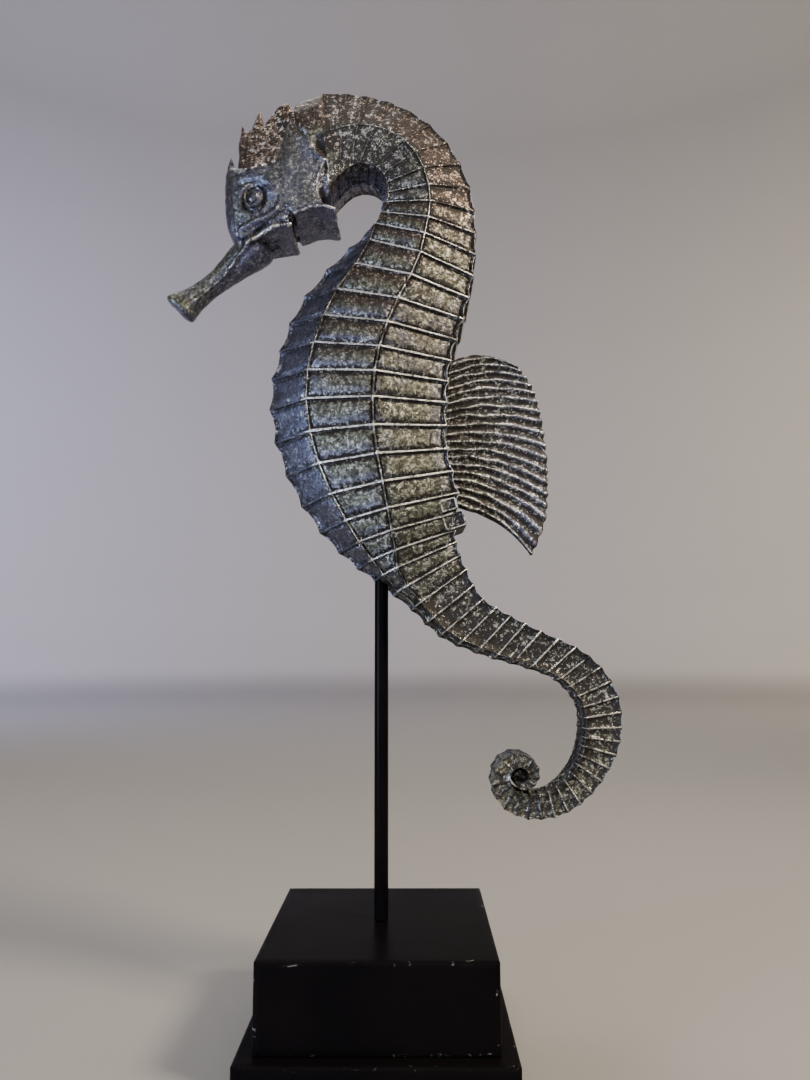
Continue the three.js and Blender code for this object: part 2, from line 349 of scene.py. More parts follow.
# Half width of a ring's rib, in ring spacings, and how the panels between the ribs are sunk and filled.
RIB_HALF = [(0, 0.025), (8, 0.032), (14, 0.032), (25, 0.036), (31, 0.045), (51, 0.06), (68, 0.12)]
PANEL_EDGE = [(0, 0.3), (14, 0.5), (24, 0.45), (35, 0.35), (51, 0.3), (60, 0.2), (68, 0.12)]
PANEL_SINK = [(0, 0.8), (5, 1.0), (14, 1.3), (22, 1.25), (27, 1.0), (45, 0.8), (52, 0.5), (68, 0.15)]
PILLOW_EDGE = [(0, 0.4), (7, 0.7), (14, 1.0), (22, 0.9), (27, 0.6), (68, 0.3)]
PILLOW_RISE = [(0, 0.8), (14, 1.6), (22, 1.5), (27, 1.0), (68, 0.3)]
PILLOW_SQUEEZE = [(0, 0.85), (8, 0.82), (14, 0.76), (27, 0.8)]
LAST_PILLOW = 27
# The panels are shallower low on the sides of the neck, and along the keel.
ROW_DEPTH = {
    "keel": [(0, 0.1), (9, 0.2), (12, 0.6), (24, 0.7), (28, 0.3), (68, 0.15)],
    "side": [(0, 0.35), (5, 0.5), (10, 1), (68, 1)],
    "back": [(0, 0.25), (6, 0.35), (11, 0.75), (14, 1), (68, 1)],
}
PILLOW_CREASE = 0.3
PILLOW_CORNER = 0.8
MITRE_CREASE = 0.7
RIDGE_HALF = 0.26

# Knobs where a rib crosses a ridge, higher on the outline than on the flanks.
KNOB = [(0, 0.6), (8, 1.0), (14, 1.3), (22, 1.2), (27, 0.9), (45, 0.6), (60, 0.3), (68, 0.1)]
OUTLINE_RIDGES = ("keel", "back_near", "back_far")
OUTLINE_SHARE = 1.2
FLANK_SHARE = 0.35
KNOB_NEAR_RING = 0.4
NEWEST_FACES = 220
# How far the outline sags between the ribs, and how near the outline it begins.
OUTLINE_DIP = [(0, 0.5), (8, 1.0), (14, 2.2), (24, 2), (30, 1.2), (45, 0.9), (60, 0.4), (68, 0)]
DIP_ROUNDNESS = 0.8
DIP_FROM = (0.7, 0.95)


def coil_station(step):
    share = step / COIL_STEPS
    ring = mix(*COIL_RINGS, share)
    angle = COIL_FIRST_ANGLE + COIL_TURN * share ** COIL_TURNS_LATE
    narrowed = share ** COIL_NARROWS_EARLY
    radius = mix(*COIL_RADII, narrowed)
    x = COIL_CENTRE[0] + radius * math.cos(math.radians(angle))
    z = COIL_CENTRE[1] + radius * math.sin(math.radians(angle))
    return (ring, x, z, angle, mix(*COIL_HALF_DEPTHS, narrowed))


ROUTE = STATIONS + [coil_station(step) for step in range(COIL_STEPS + 1)]


def station(ring):
    """Centre x, centre z, tilt in degrees and half depth at any ring number."""
    last = len(ROUTE) - 1
    i = next((k for k in range(last) if ring < ROUTE[k + 1][0]), last - 1)
    span = ROUTE[i + 1][0] - ROUTE[i][0]
    t = (ring - ROUTE[i][0]) / span

    def slope(k, column):
        low = ROUTE[max(k - 1, 0)]
        high = ROUTE[min(k + 1, last)]
        return (high[column] - low[column]) / (high[0] - low[0])

    return [
        ease(ROUTE[i][column], ROUTE[i + 1][column], span, slope(i, column), slope(i + 1, column), t)
        for column in range(1, 5)
    ]


# ------------ the ringed body

PANEL, RIB, RIDGE = 1, 2, 3
RIDGES = ("keel", "belly_near", "flank_near", "back_near", "back_far", "flank_far", "belly_far")


class Section:
    """The body's outline at one ring: its place, its size and where its ridges run."""

    def __init__(self, ring):
        self.ring = ring
        x, z, tilt, depth = station(ring)
        self.tilt = math.radians(tilt)
        self.centre = Vector((x, 0, z)) * MM
        self.depth = depth * MM
        self.half = along(HALF_THICKNESS, ring) * MM
        self.belly = along(BELLY_RIDGE, ring)
        self.flank = along(FLANK_RIDGE, ring)
        self.belly_share = along(BELLY_SHARE, ring)
        self.back_share = along(BACK_SHARE, ring)
        self.to_back = Vector((math.cos(self.tilt), 0, math.sin(self.tilt)))
        self.to_tail = Vector((math.sin(self.tilt), 0, -math.cos(self.tilt)))
        self.axes = Matrix((self.to_back, (0, 1, 0), self.to_tail)).transposed()

    def corners(self):
        """Each ridge's place: distance along the depth, and distance across."""
        belly = (self.belly * self.depth, self.half * self.belly_share)
        flank = (self.flank * self.depth, self.half)
        back = (self.depth, self.half * self.back_share)
        near = [(reach, -across) for reach, across in (belly, flank, back)]
        return [(-self.depth, 0)] + near + [back, flank, belly]

    def place(self, reach, across):
        return self.centre + self.to_back * reach + Vector((0, across, 0))


def ridge_of(vert, groups):
    """The ridge that a point belongs to, or None."""
    weights = vert[groups]
    return weights.keys()[0] if len(weights) == 1 else None


def ridges_of(face, groups):
    return {ridge_of(vert, groups) for vert in face.verts}


def start_body():
    """A flat outline at the nape with a pair of points on each ridge."""
    section = Section(FIRST_RING)
    body = start(
        bpy.ops.mesh.primitive_circle_add, "seahorse_skin", vertices=2 * len(RIDGES), radius=section.half,
        fill_type="NGON",
    )
    for name in RIDGES:
        body.vertex_groups.new(name=name)
    mesh = edit(body)
    mesh.verts.layers.float.new("ring")
    mesh.faces.layers.int.new("part")
    groups = mesh.verts.layers.deform.verify()
    mesh.verts.ensure_lookup_table()
    corners = section.corners()
    for index, corner in enumerate(corners):
        for second, neighbour in enumerate((corners[index - 1], corners[(index + 1) % len(corners)])):
            way = Vector(neighbour) - Vector(corner)
            shift = way.normalized() * RIDGE_HALF * MM
            vert = mesh.verts[2 * index + second]
            vert.co = section.place(corner[0] + shift.x, corner[1] + shift.y)
            vert[groups][index] = 1
    bmesh.update_edit_mesh(body.data)
    select_all()
    bpy.ops.mesh.flip_normals()
    return body, section


def pick_end(body, section):
    """Selects the flat face that closes the body at its newest outline."""
    mesh = bmesh.from_edit_mesh(body.data)
    ends = [face for face in mesh.faces if len(face.verts) > 4]
    end = min(ends, key=lambda face: (face.calc_center_median() - section.centre).length)
    bpy.ops.mesh.select_mode(type="FACE")
    pick(body, lambda face: face == end, "faces")
    bpy.ops.mesh.select_mode(type="VERT")


def draw_out(body, last, section):
    """Draws the end of the body out to the next outline."""
    push_out(section.centre - last.centre)
    bpy.ops.transform.rotate(
        value=section.tilt - last.tilt, orient_axis="Y", center_override=section.centre,
    )
    stretch((section.depth / last.depth, section.half / last.half, 1), section.centre, section.axes)
    mesh = bmesh.from_edit_mesh(body.data)
    groups = mesh.verts.layers.deform.verify()
    mesh.verts.ensure_lookup_table()
    end = [vert for vert in mesh.verts[-2 * len(RIDGES):] if vert.select]
    ring = mesh.verts.layers.float["ring"]
    for vert in end:
        vert[ring] = section.ring
    shifts = {
        "belly": (section.belly - last.belly, section.belly_share / last.belly_share),
        "flank": (section.flank - last.flank, 1),
        "back": (0, section.back_share / last.back_share),
    }
    for ridge, (slide, spread) in shifts.items():
        wanted = {index for index, name in enumerate(RIDGES) if name.startswith(ridge)}
        for vert in mesh.verts:
            vert.select = False
        for vert in end:
            vert.select = ridge_of(vert, groups) in wanted
        mesh.select_flush_mode()
        bmesh.update_edit_mesh(body.data)
        bpy.ops.transform.translate(value=section.to_back * slide * section.depth)
        stretch((1, spread, 1), section.centre)
    pick_end(body, section)


def newest_strip(mesh):
    """The faces between the newest outline, which is selected, and the one before."""
    ends = [vert for vert in mesh.verts if vert.select]
    strip = {face for vert in ends for face in vert.link_faces if len(face.verts) == 4}
    return sorted(strip, key=lambda face: face.index)


def mark_rib(body):
    mesh = bmesh.from_edit_mesh(body.data)
    part = mesh.faces.layers.int["part"]
    for face in newest_strip(mesh):
        face[part] = RIB
    bmesh.update_edit_mesh(body.data)


def panel_row(ridges):
    """Which of the body's rows a panel lies in, by the two ridges beside it."""
    beside = {RIDGES[index].split("_")[0] for index in ridges}
    if "keel" in beside:
        return "keel"
    return "side" if "belly" in beside else "back"


def fill_panels(body, ring):
    """Sinks a frame into each panel of the newest length, and fills its middle up again."""
    mesh = bmesh.from_edit_mesh(body.data)
    groups = mesh.verts.layers.deform.verify()
    part = mesh.faces.layers.int["part"]
    rows = {row: set() for row in ROW_DEPTH}
    for face in newest_strip(mesh):
        ridges = ridges_of(face, groups)
        face[part] = RIDGE if len(ridges) == 1 else PANEL
        if face[part] == PANEL:
            rows[panel_row(ridges)].add(face.index)
    middle = ring + 0.5
    section = Section(middle)
    bpy.ops.mesh.select_mode(type="FACE")
    for row, chosen in rows.items():
        pick_numbers(body, chosen)
        share = along(ROW_DEPTH[row], middle)
        inset(along(PANEL_EDGE, middle), -along(PANEL_SINK, middle) * share)
        crease(1, 1)
        if ring < LAST_PILLOW:
            inset(along(PILLOW_EDGE, middle), along(PILLOW_RISE, middle) * share)
            stretch((1, 1, along(PILLOW_SQUEEZE, middle)), section.centre, section.axes)
            crease(-1, -1)
            crease(PILLOW_CREASE, PILLOW_CORNER)
    bpy.ops.mesh.select_mode(type="VERT")


def raise_knobs(body, ring):
    """Raises the small faces where a rib crosses the ridges."""
    section = Section(ring)
    mesh = bmesh.from_edit_mesh(body.data)
    groups = mesh.verts.layers.deform.verify()
    reach = section.depth * 1.3 + section.half
    outline = {RIDGES.index(name) for name in OUTLINE_RIDGES}
    knobs = {True: set(), False: set()}
    mesh.faces.ensure_lookup_table()
    for face in mesh.faces[-NEWEST_FACES:]:
        middle = face.calc_center_median() - section.centre
        if middle.length > reach or abs(middle.dot(section.to_tail)) > KNOB_NEAR_RING * MM:
            continue
        ridges = ridges_of(face, groups)
        if len(ridges) == 1:
            knobs[ridges <= outline].add(face.index)
    bpy.ops.mesh.select_mode(type="FACE")
    for on_outline, share in ((True, OUTLINE_SHARE), (False, FLANK_SHARE)):
        pick_numbers(body, knobs[on_outline])
        bpy.ops.transform.shrink_fatten(value=along(KNOB, ring) * share * MM)
    bpy.ops.mesh.select_mode(type="VERT")


def crease_mitres(body):
    """Keeps the panels' corners square: the edges that run into a sunk corner stay straight."""
    layer = bmesh.from_edit_mesh(body.data).verts.layers.float["crease_vert"]
    for foot, sharpness in ((0, 1), (PILLOW_CORNER, MITRE_CREASE)):
        pick(body, lambda edge: {round(vert[layer], 2) for vert in edge.verts} == {foot, 1}, "edges")
        bpy.ops.transform.edge_crease(value=sharpness)


def make_body():
    body, last = start_body()
    for ring in range(FIRST_RING + 1, LAST_RING):
        rib = along(RIB_HALF, ring)
        above, below = Section(ring - rib), Section(ring + rib)
        draw_out(body, last, above)
        fill_panels(body, ring - 1)
        pick_end(body, above)
        draw_out(body, above, below)
        mark_rib(body)
        # the knobs of a rib are raised once the body has gone on past it
        if ring > FIRST_RING + 1:
            raise_knobs(body, ring - 1)
            pick_end(body, below)
        last = below
    tip = Section(COIL_RINGS[1])
    draw_out(body, last, tip)
    stretch((TIP_SHARE, TIP_SHARE, TIP_SHARE), tip.centre)
    part = bmesh.from_edit_mesh(body.data).faces.layers.int["part"]
    bpy.ops.mesh.select_mode(type="EDGE")
    pick(body, lambda edge: any(face[part] != PANEL for face in edge.link_faces), "edges")
    bpy.ops.transform.edge_crease(value=1)
    crease_mitres(body)
    select_all()
    bpy.ops.mesh.normals_make_consistent(inside=False)
    # the nape is left open for the head
    pick_end(body, Section(FIRST_RING))
    bpy.ops.mesh.delete(type="ONLY_FACE")
    rest(body)
    return body


def touched_parts(body):
    """Which points lie on a panel, which on a rib and which on a ridge."""
    parts = read(body.data.attributes["part"].data, "value", kind=np.int64)
    owners = np.repeat(parts, [len(face.vertices) for face in body.data.polygons])
    corners = read(body.data.loops, "vertex_index", kind=np.int64)
    touched = {part: np.zeros(len(body.data.vertices), dtype=bool) for part in (RIB, RIDGE)}
    for part, points in touched.items():
        points[corners[owners == part]] = True
    return touched


def lie_of(body):
    """Each point's ring, its share from belly (-1) to back (+1), the way to the back there,
    and the shares at which the belly and flank ridges lie."""
    spots = places(body)[:, [0, 2]] / MM
    numbers = values_of(body, "ring")
    steps = np.arange(FIRST_RING, LAST_RING + 1, 0.5)
    sections = [Section(step) for step in steps]
    rows = [
        (*(one.centre.xz / MM), *one.to_back.xz, one.depth / MM, one.belly, one.flank) for one in sections
    ]
    columns = [np.interp(numbers, steps, column) for column in zip(*rows)]
    x, z, back_x, back_z, depth, belly, flank = columns
    share = ((spots[:, 0] - x) * back_x + (spots[:, 1] - z) * back_z) / depth
    return numbers, share, {"X": back_x, "Z": back_z}, belly, flank


def dip_outline(body):
    """Lets the belly and the back sag inward between the ribs, so that their outline is toothed."""
    numbers, share, to_back, _, _ = lie_of(body)
    deepest = max(value for _, value in OUTLINE_DIP)
    sag = np.sin(math.pi * (numbers % 1)) ** DIP_ROUNDNESS * look_up(numbers, OUTLINE_DIP) / deepest
    sag *= ramp(np.abs(share), *DIP_FROM) * -np.sign(share)
    for axis, way in to_back.items():
        for side in (1, -1):
            group = f"dip_{axis}_{side}"
            weigh(body, group, np.clip(side * sag * way, 0, 1))
            finish_with(
                body, "DISPLACE", vertex_group=group, direction=axis, strength=side * deepest * MM,
                mid_level=0,
            )


# ------------ head

# Skull stations: x, underside z, top z, half width.
SKULL = [
    (-103, 508, 536, 5.5), (-100, 492, 541, 9.5), (-96, 486, 539, 13), (-91, 483, 537, 16),
    (-84, 481, 539, 18.4), (-73, 486, 542, 20), (-63, 491, 551, 21.2), (-60, 493, 574, 21.6),
    (-56, 495, 584, 21.8), (-46, 499, 584.5, 22), (-36, 505, 590, 21.8), (-27, 512, 592, 21.6),
]
# Each corner of the skull's outline: share of the half width, share of the height.
SKULL_CORNERS = [(0.62, 0), (0.94, 0.12), (1, 0.3), (1, 0.62), (0.93, 0.82), (0.64, 1)]

# Snout stations from the face to the mouth: x, z, half depth, half width.
SNOUT = [
    (-76, 489, 14, 15), (-86, 480.5, 12, 13), (-95, 472.5, 9.8, 10), (-103, 465, 7.8, 8),
    (-112, 457.5, 6.8, 7), (-122, 450, 8.2, 7.8), (-128.2, 445.2, 10.8, 9.6),
    (-130.4, 443.4, 12, 10.4), (-131.6, 442.4, 11.4, 9.8),
]
SNOUT_TILT = -46
SNOUT_SIDES = 20
# Steps into the mouth: how far in from its rim, and how far outward.
MOUTH = [(1.5, 0.5), (3, 0.4), (1.2, -1.4)]

GILL_COVER = [
    (-62, 520), (-44, 524), (-41, 516), (-38.5, 507), (-27.5, 500), (-40, 501.2), (-54, 496.5), (-66, 502),
]
GILL_HALF = 21.3
CHIN = [(-93, 487), (-86, 480.5), (-78, 484.5), (-69, 488), (-56, 488.5), (-57, 498), (-74, 505)]
CHIN_HALF = 19.6
CHIN_NARROWS = -72
CHIN_FRONT_SHARE = 0.8
BROW_THORN = ((-99, 0, 533), (-100.3, 0, 549), 5)
PLATE_BEVEL = 1.2
THORN_SIDES = 10
THORN_TIP = 0.25
HEAD_GRAIN = 0.8
HEAD_SHARE = 0.48
NAPE_OF_HEAD = -0.12
ABOVE_GILL_THORN = 505

# Framed hollows beside the fin's foot: ring, share of the depth, half length and half height.
CELLS = [(22.5, 0.86, 5.0, 3.8), (23.45, 0.98, 6.6, 5.0)]
CELL_PROUD = 2.2
CELL_FRAME = 0.9
CELL_SLOPE = 0.4
CELL_SINK = 1.6
CELL_CREASE = 0.6
CELL_RUBBED = (0.6, 0.2)
CELL_DARK = 0.8

# Strokes of the carving tool on both sides of the head: points (x, z), half width and depth.
CARVED = [
    ([(-88.5, 482), (-81.4, 486.4), (-75.1, 489.9), (-66.9, 493), (-57.4, 494.5)], 1.9, 2.2),
    ([(-60, 501), (-56.5, 496), (-55, 489)], 1.8, 2.0),
    ([(-33.5, 531), (-36, 525), (-37.6, 519), (-37.4, 512.5), (-35.5, 506)], 2.2, 1.6),
    ([(-39, 544.5), (-33, 539.5)], 6.5, 2.6),
    ([(-90, 520.5), (-84.6, 521.3), (-78, 520.8), (-72.5, 517)], 2.0, 1.2),
    ([(-56.5, 566), (-54.5, 556), (-49, 551)], 2.2, 1.2),
]
RAISED = [
    ([(-89, 490), (-79.6, 493.6), (-71.4, 496.4), (-65.1, 501)], 2.8, 1.9),
    ([(-86.5, 480.5), (-80, 484), (-75, 486.6), (-66.9, 489.6), (-57, 491)], 1.8, 1.3),
    ([(-84, 481.5), (-92.7, 472.5), (-100.7, 463), (-110, 454.5), (-120, 446)], 1.8, 1.3),
    ([(-91, 528), (-84, 528.5), (-77, 527), (-71, 521), (-69, 513)], 7, 1.2),
    ([(-96.5, 534), (-95.4, 524), (-94.6, 510.4), (-93, 496.8), (-91.5, 485)], 1.6, 0.7),
    ([(-54, 497.8), (-44.6, 501.6), (-35.1, 502.2), (-28, 500.4)], 1.3, 0.8),
    ([(-36, 532.3), (-38.5, 526.2), (-40.6, 519.5), (-40.4, 512.7), (-38.3, 506)], 1.2, 0.7),
    ([(-43.1, 539.9), (-39.9, 535.1), (-35.4, 532.8), (-29.7, 534.3), (-27.2, 539.8)], 1.3, 1.0),
    ([(-58.5, 577), (-57.5, 568), (-55, 556)], 1.4, 1.2),
]
STROKES_FROM = 6

EYE_CENTRE = (-81, 509.8)
EYE_SQUASH = 0.86
SOCKET_RADIUS = 8.6
SOCKET_STEPS = 24
SOCKET_WIDTH_AND_DEPTH = (2.2, 2.4)


def make_plate(outline, half, bevel):
    """A flat plate in the X-Z plane, cut to an outline, with its rims eased."""
    plate = start_outline([(x, -half, z) for x, z in outline])
    push_out((0, 2 * half * MM, 0))
    select_all()
    bpy.ops.mesh.normals_make_consistent(inside=False)
    edges = bmesh.from_edit_mesh(plate.data).edges
    rim = {edge.index for edge in edges if abs(edge.verts[0].co.y - edge.verts[1].co.y) < half * MM}
    bpy.ops.mesh.select_mode(type="EDGE")
    pick_numbers(plate, rim, "edges")
    bpy.ops.mesh.bevel(offset=bevel * MM, segments=1)
    rest(plate)
    return plate


def make_thorn(foot, tip, radius):
    foot = Vector(foot) * MM
    tip = Vector(tip) * MM
    way = tip - foot
    thorn = start(
        bpy.ops.mesh.primitive_cone_add, vertices=THORN_SIDES, radius1=radius * MM, radius2=THORN_TIP * MM,
        depth=way.length, location=(foot + tip) / 2, rotation=way.to_track_quat("Z", "Y").to_euler(),
    )
    edit(thorn)
    rest(thorn)
    return thorn


def make_skull():
    corners = SKULL_CORNERS + [(-across, up) for across, up in reversed(SKULL_CORNERS)]
    x, low, high, half = SKULL[0]
    skull = start_outline([(x, across * half, mix(low, high, up)) for across, up in corners])
    draw_through([((x, 0, low), (1, half, high - low)) for x, low, high, half in SKULL])
    close_up(skull)
    round_off(skull, 1)
    return skull


def make_snout():
    """A flared tube drawn out from the face to the mouth."""
    tilt = math.radians(SNOUT_TILT)
    rise = Vector((math.sin(tilt), 0, math.cos(tilt)))
    axes = Matrix((rise, (0, 1, 0), rise.cross(Vector((0, 1, 0))))).transposed()
    x, z, depth, width = SNOUT[0]
    rim = []
    for side in range(SNOUT_SIDES):
        turn = 2 * math.pi * side / SNOUT_SIDES
        rim.append(Vector((x, 0, z)) + rise * depth * math.cos(turn) + Vector((0, width * math.sin(turn), 0)))
    snout = start_outline(rim)
    draw_through([((x, 0, z), (depth, width, 1)) for x, z, depth, width in SNOUT], axes)
    out = Vector((-math.cos(tilt), 0, math.sin(tilt)))
    for thickness, depth in MOUTH:
        inset(thickness, each=False)
        bpy.ops.transform.translate(value=out * depth * MM)
    close_up(snout)
    round_off(snout, 1)
    return snout


def weld(name, pieces, grain, smoothing):
    """Joins the pieces and fuses them into one closed skin."""
    take(pieces[0])
    for piece in pieces[1:]:
        piece.select_set(True)
    bpy.ops.object.join()
    whole = bpy.context.object
    whole.name = name
    finish_with(whole, "REMESH", mode="VOXEL", voxel_size=grain * MM, adaptivity=0)
    finish_with(whole, "SMOOTH", factor=0.5, iterations=smoothing)
    return whole


def stroke_weights(spots, points, half_width):
    """How deep each point lies under a stroke: 1 on its middle line and 0 at its sides."""
    flat = spots[:, [0, 2]] / MM
    nearest = np.full(len(flat), 1e9)
    for first, last in zip(points, points[1:]):
        first = np.array(first, float)
        run = np.array(last, float) - first
        share = np.clip(((flat - first) @ run) / (run @ run), 0, 1)
        nearest = np.minimum(nearest, np.linalg.norm(flat - first - share[:, None] * run, axis=1))
    weights = np.clip(1 - (nearest / half_width) ** 2, 0, 1) ** 1.5
    return weights * (np.abs(spots[:, 1]) > STROKES_FROM * MM)


def carve(piece, strokes, way):
    """Carves (way -1) or raises (way 1) every stroke on the piece."""
    spots = places(piece)
    deepest = max(depth for _, _, depth in strokes)
    weights = np.zeros(len(spots))
    for points, half_width, depth in strokes:
        weights = np.maximum(weights, stroke_weights(spots, points, half_width) * depth / deepest)
    name = "carved" if way < 0 else "raised"
    weigh(piece, name, weights)
    finish_with(piece, "DISPLACE", vertex_group=name, strength=way * deepest * MM, mid_level=0)


def make_head():
    pieces = [make_skull(), make_snout(), make_plate(GILL_COVER, GILL_HALF, PLATE_BEVEL)]
    chin = make_plate(CHIN, CHIN_HALF, PLATE_BEVEL)
    edit(chin)
    pick(chin, lambda vert: vert.co.x < CHIN_NARROWS * MM)
    stretch((1, CHIN_FRONT_SHARE, 1), (0, 0, 0))
    rest(chin)
    head = weld("head_carving", pieces + [chin, make_thorn(*BROW_THORN)], HEAD_GRAIN, 4)
    x, z = EYE_CENTRE
    turns = [2 * math.pi * step / SOCKET_STEPS for step in range(SOCKET_STEPS + 1)]
    width = SOCKET_RADIUS * EYE_SQUASH
    socket = [(x + width * math.cos(turn), z + SOCKET_RADIUS * math.sin(turn)) for turn in turns]
    carve(head, CARVED + [(socket, *SOCKET_WIDTH_AND_DEPTH)], -1)
    carve(head, RAISED, 1)
    finish_with(head, "SMOOTH", factor=0.5, iterations=1)
    return head


def close_coil(body):
    """A thin web fills the middle of the tail's curl, painted fully dark as painted shade in the pit."""
    web = start(bpy.ops.mesh.primitive_uv_sphere_add, segments=24, ring_count=12, radius=MM)
    edit(web)
    select_all()
    bpy.ops.transform.resize(value=COIL_WEB)
    bpy.ops.transform.translate(value=Vector((COIL_CENTRE[0], 0, COIL_CENTRE[1])) * MM)
    rest(web)
    # fully dark all over: painted shade
    set_values(web, "sunk", np.ones(len(web.data.vertices)))
    join(body, web)


def add_cells(body):
    """Two framed hollows low on the back beside the fin's foot; the lower one stands out of the outline."""
    for ring, share, half_out, half_down in CELLS:
        section = Section(ring)
        cell = start(bpy.ops.mesh.primitive_cube_add, size=2 * MM)
        across = section.half * section.back_share + CELL_PROUD * MM
        edit(cell, "FACE")
        select_all()
        bpy.ops.transform.resize(value=(half_out, across / MM, half_down))
        bpy.ops.transform.rotate(value=section.tilt, orient_axis="Y", center_override=(0, 0, 0))
        bpy.ops.transform.translate(value=section.place(share * section.depth, 0))
        pick(cell, lambda face: abs(face.normal.y) > 0.9, "faces")
        inset(CELL_FRAME)
        inset(CELL_SLOPE, -CELL_SINK)
        select_all("EDGE")
        bpy.ops.transform.edge_crease(value=CELL_CREASE)
        rest(cell)
        round_off(cell, 3)
        out = np.abs(places(cell)[:, 1]) / MM
        rim = out.max()
        set_values(cell, "crest", 0.8 * ramp(rim - out, *CELL_RUBBED))
        set_values(cell, "sunk", ramp(rim - out, 0, CELL_DARK))
        join(body, cell)


def fuse(body, head):
    """Cuts the head off at the nape and bridges its rim to the open end of the body: one closed skin."""
    nape = Section(NAPE_OF_HEAD)
    edit(head, "FACE")
    pick(head, lambda face: face.calc_center_median().z > ABOVE_GILL_THORN * MM, "faces")
    bpy.ops.mesh.bisect(plane_co=nape.centre, plane_no=nape.to_tail, clear_outer=True)
    rest(head)
    join(body, head)
    edit(body, "EDGE")
    pick(body, lambda edge: len(edge.link_faces) == 1, "edges")
    bpy.ops.mesh.bridge_edge_loops()
    close_up(body)


# ------------ crown

CROWN_SKIRT = [(-88, 529, 17.5), (-56.5, 534, 21), (-57.5, 569, 12.5), (-87, 561.5, 10.5)]
CROWN_COLUMN = [(-90, 531, 5.6, 12), (-90, 545, 4.4, 10.5), (-90.2, 553, 4.9, 11), (-89.5, 561, 4.2, 9)]
CROWN_KNOB = [(-77, 569), (-68, 581.5), (-62, 583.5), (-60, 579), (-58.5, 562), (-75, 560)]
CROWN_KNOB_HALF = 7
CROWN_KNOB_BEVEL = 1.4
SKIRT_BEVEL = 1.6
COLUMN_TOP = (1.4, 1.2)
COLUMN_SIDES = 20
# Thorns: foot x, y, z, then tip x, y, z, and the foot's radius. Each has a twin on the far side.
CROWN_THORNS = [
    (-90.5, 7, 559, -91.8, 8, 566.5, 2.2),
    (-81.5, 6, 559, -80.2, 7.5, 577, 6),
]
CROWN_GRAIN = 0.7
HAMMER_MARK = 3.6
HAMMER_DEPTH = 1.6
# The hammered part: behind the front column, under the top, and away from the middle plane.
HAMMERED_FROM = (-86, -84)
HAMMERED_UNDER = (571, 567)
HAMMERED_OUT = (5, 8)


def make_skirt():
    skirt = start(bpy.ops.mesh.primitive_cube_add, size=20 * MM)
    edit(skirt)
    low_front, low_rear, high_rear, high_front = CROWN_SKIRT
    spots = []
    for vert in bmesh.from_edit_mesh(skirt.data).verts:
        low, high = (low_front, high_front) if vert.co.x < 0 else (low_rear, high_rear)
        x, z, half = high if vert.co.z > 0 else low
        spots.append((x, math.copysign(half, vert.co.y), z))
    move_to(skirt, spots)
    select_all("EDGE")
    bpy.ops.mesh.bevel(offset=SKIRT_BEVEL * MM, segments=2)
    rest(skirt)
    return skirt


def make_column():
    x, z, depth, half = CROWN_COLUMN[0]
    foot = Vector((x, 0, z)) * MM
    column = start(
        bpy.ops.mesh.primitive_cylinder_add, vertices=COLUMN_SIDES, radius=MM, depth=0.2 * MM,
        location=foot,
    )
    edit(column, "FACE")
    stretch((depth, half, 1), foot)
    pick(column, lambda face: face.normal.z > 0.9, "faces")
    draw_through([((x, 0, z), (depth, half, 1)) for x, z, depth, half in CROWN_COLUMN])
    inset(*COLUMN_TOP, each=False)
    rest(column)
    return column


def make_crown():
    """A low turret: a smooth front column, hammered sides and thorns round its top."""
    pieces = [make_skirt(), make_column(), make_plate(CROWN_KNOB, CROWN_KNOB_HALF, CROWN_KNOB_BEVEL)]
    for foot_x, foot_y, foot_z, tip_x, tip_y, tip_z, radius in CROWN_THORNS:
        for side in (-1, 1):
            foot, tip = (foot_x, side * foot_y, foot_z), (tip_x, side * tip_y, tip_z)
            pieces.append(make_thorn(foot, tip, radius))
    crown = weld("coronet_carving", pieces, CROWN_GRAIN, 3)
    x, y, z = (places(crown) / MM).T
    sides = ramp(x, *HAMMERED_FROM) * ramp(z, *HAMMERED_UNDER)
    weigh(crown, "hammered", sides * ramp(np.abs(y), *HAMMERED_OUT))
    roughen(crown, "VORONOI", HAMMER_MARK, HAMMER_DEPTH, "hammered")
    return crown


# ------------ eyes

# Each eye from the rim of its ring to the middle of the ball: distance out from the middle plane, radius.
EYE_TURNING = [
    (15, 7.6), (18.4, 7.6), (19.6, 7.1), (19.9, 6.5), (19.4, 5.9), (18.2, 5.2), (18, 4.8), (18.7, 4.4),
    (19.6, 3.6), (20.2, 2.4), (20.5, 1.1),
]
EYE_SIDES = 32


def make_eye(name, side):
    x, z = EYE_CENTRE
    first_out, first_radius = EYE_TURNING[0]
    eye = start(
        bpy.ops.mesh.primitive_circle_add, name, vertices=EYE_SIDES, radius=first_radius * MM,
        fill_type="NGON", location=Vector((x, side * first_out, z)) * MM, rotation=(math.radians(90), 0, 0),
    )
    rest(eye)
    edit(eye)
    select_all()
    stretch((EYE_SQUASH, 1, 1), Vector((x, 0, z)) * MM)
    draw_through([((x, side * out, z), (radius, 1, radius)) for out, radius in EYE_TURNING])
    close_up(eye)
    round_off(eye, 1)
    return eye


# ------------ back fin

# The fin's upper and lower rays, each as root, pull and rim points, and the points its rim runs through.
FIN_TOP = [(31, 399), (62, 420), (86, 403)]
FIN_FOOT = [(35, 314), (73, 311), (92.5, 282)]
FIN_RIM = [(86, 403), (95.5, 389), (101, 366), (103.8, 336), (102.5, 308), (92.5, 282)]
FIN_RAYS = 19
STEPS_TO_A_RAY = 8
STEPS_OUT = 44
FIN_THICKNESS = 4.6
FIN_RIM_SHARE = 0.35
RAY_HEIGHT = 1.5
RAY_ROUNDNESS = 0.8
FIN_GRAIN = (2.2, 0.8)
# How far a ray strays from its even line, in ray spacings: in broad waves and in fine ones.
BROAD_WAVER = 0.13
FINE_WAVER = 0.07


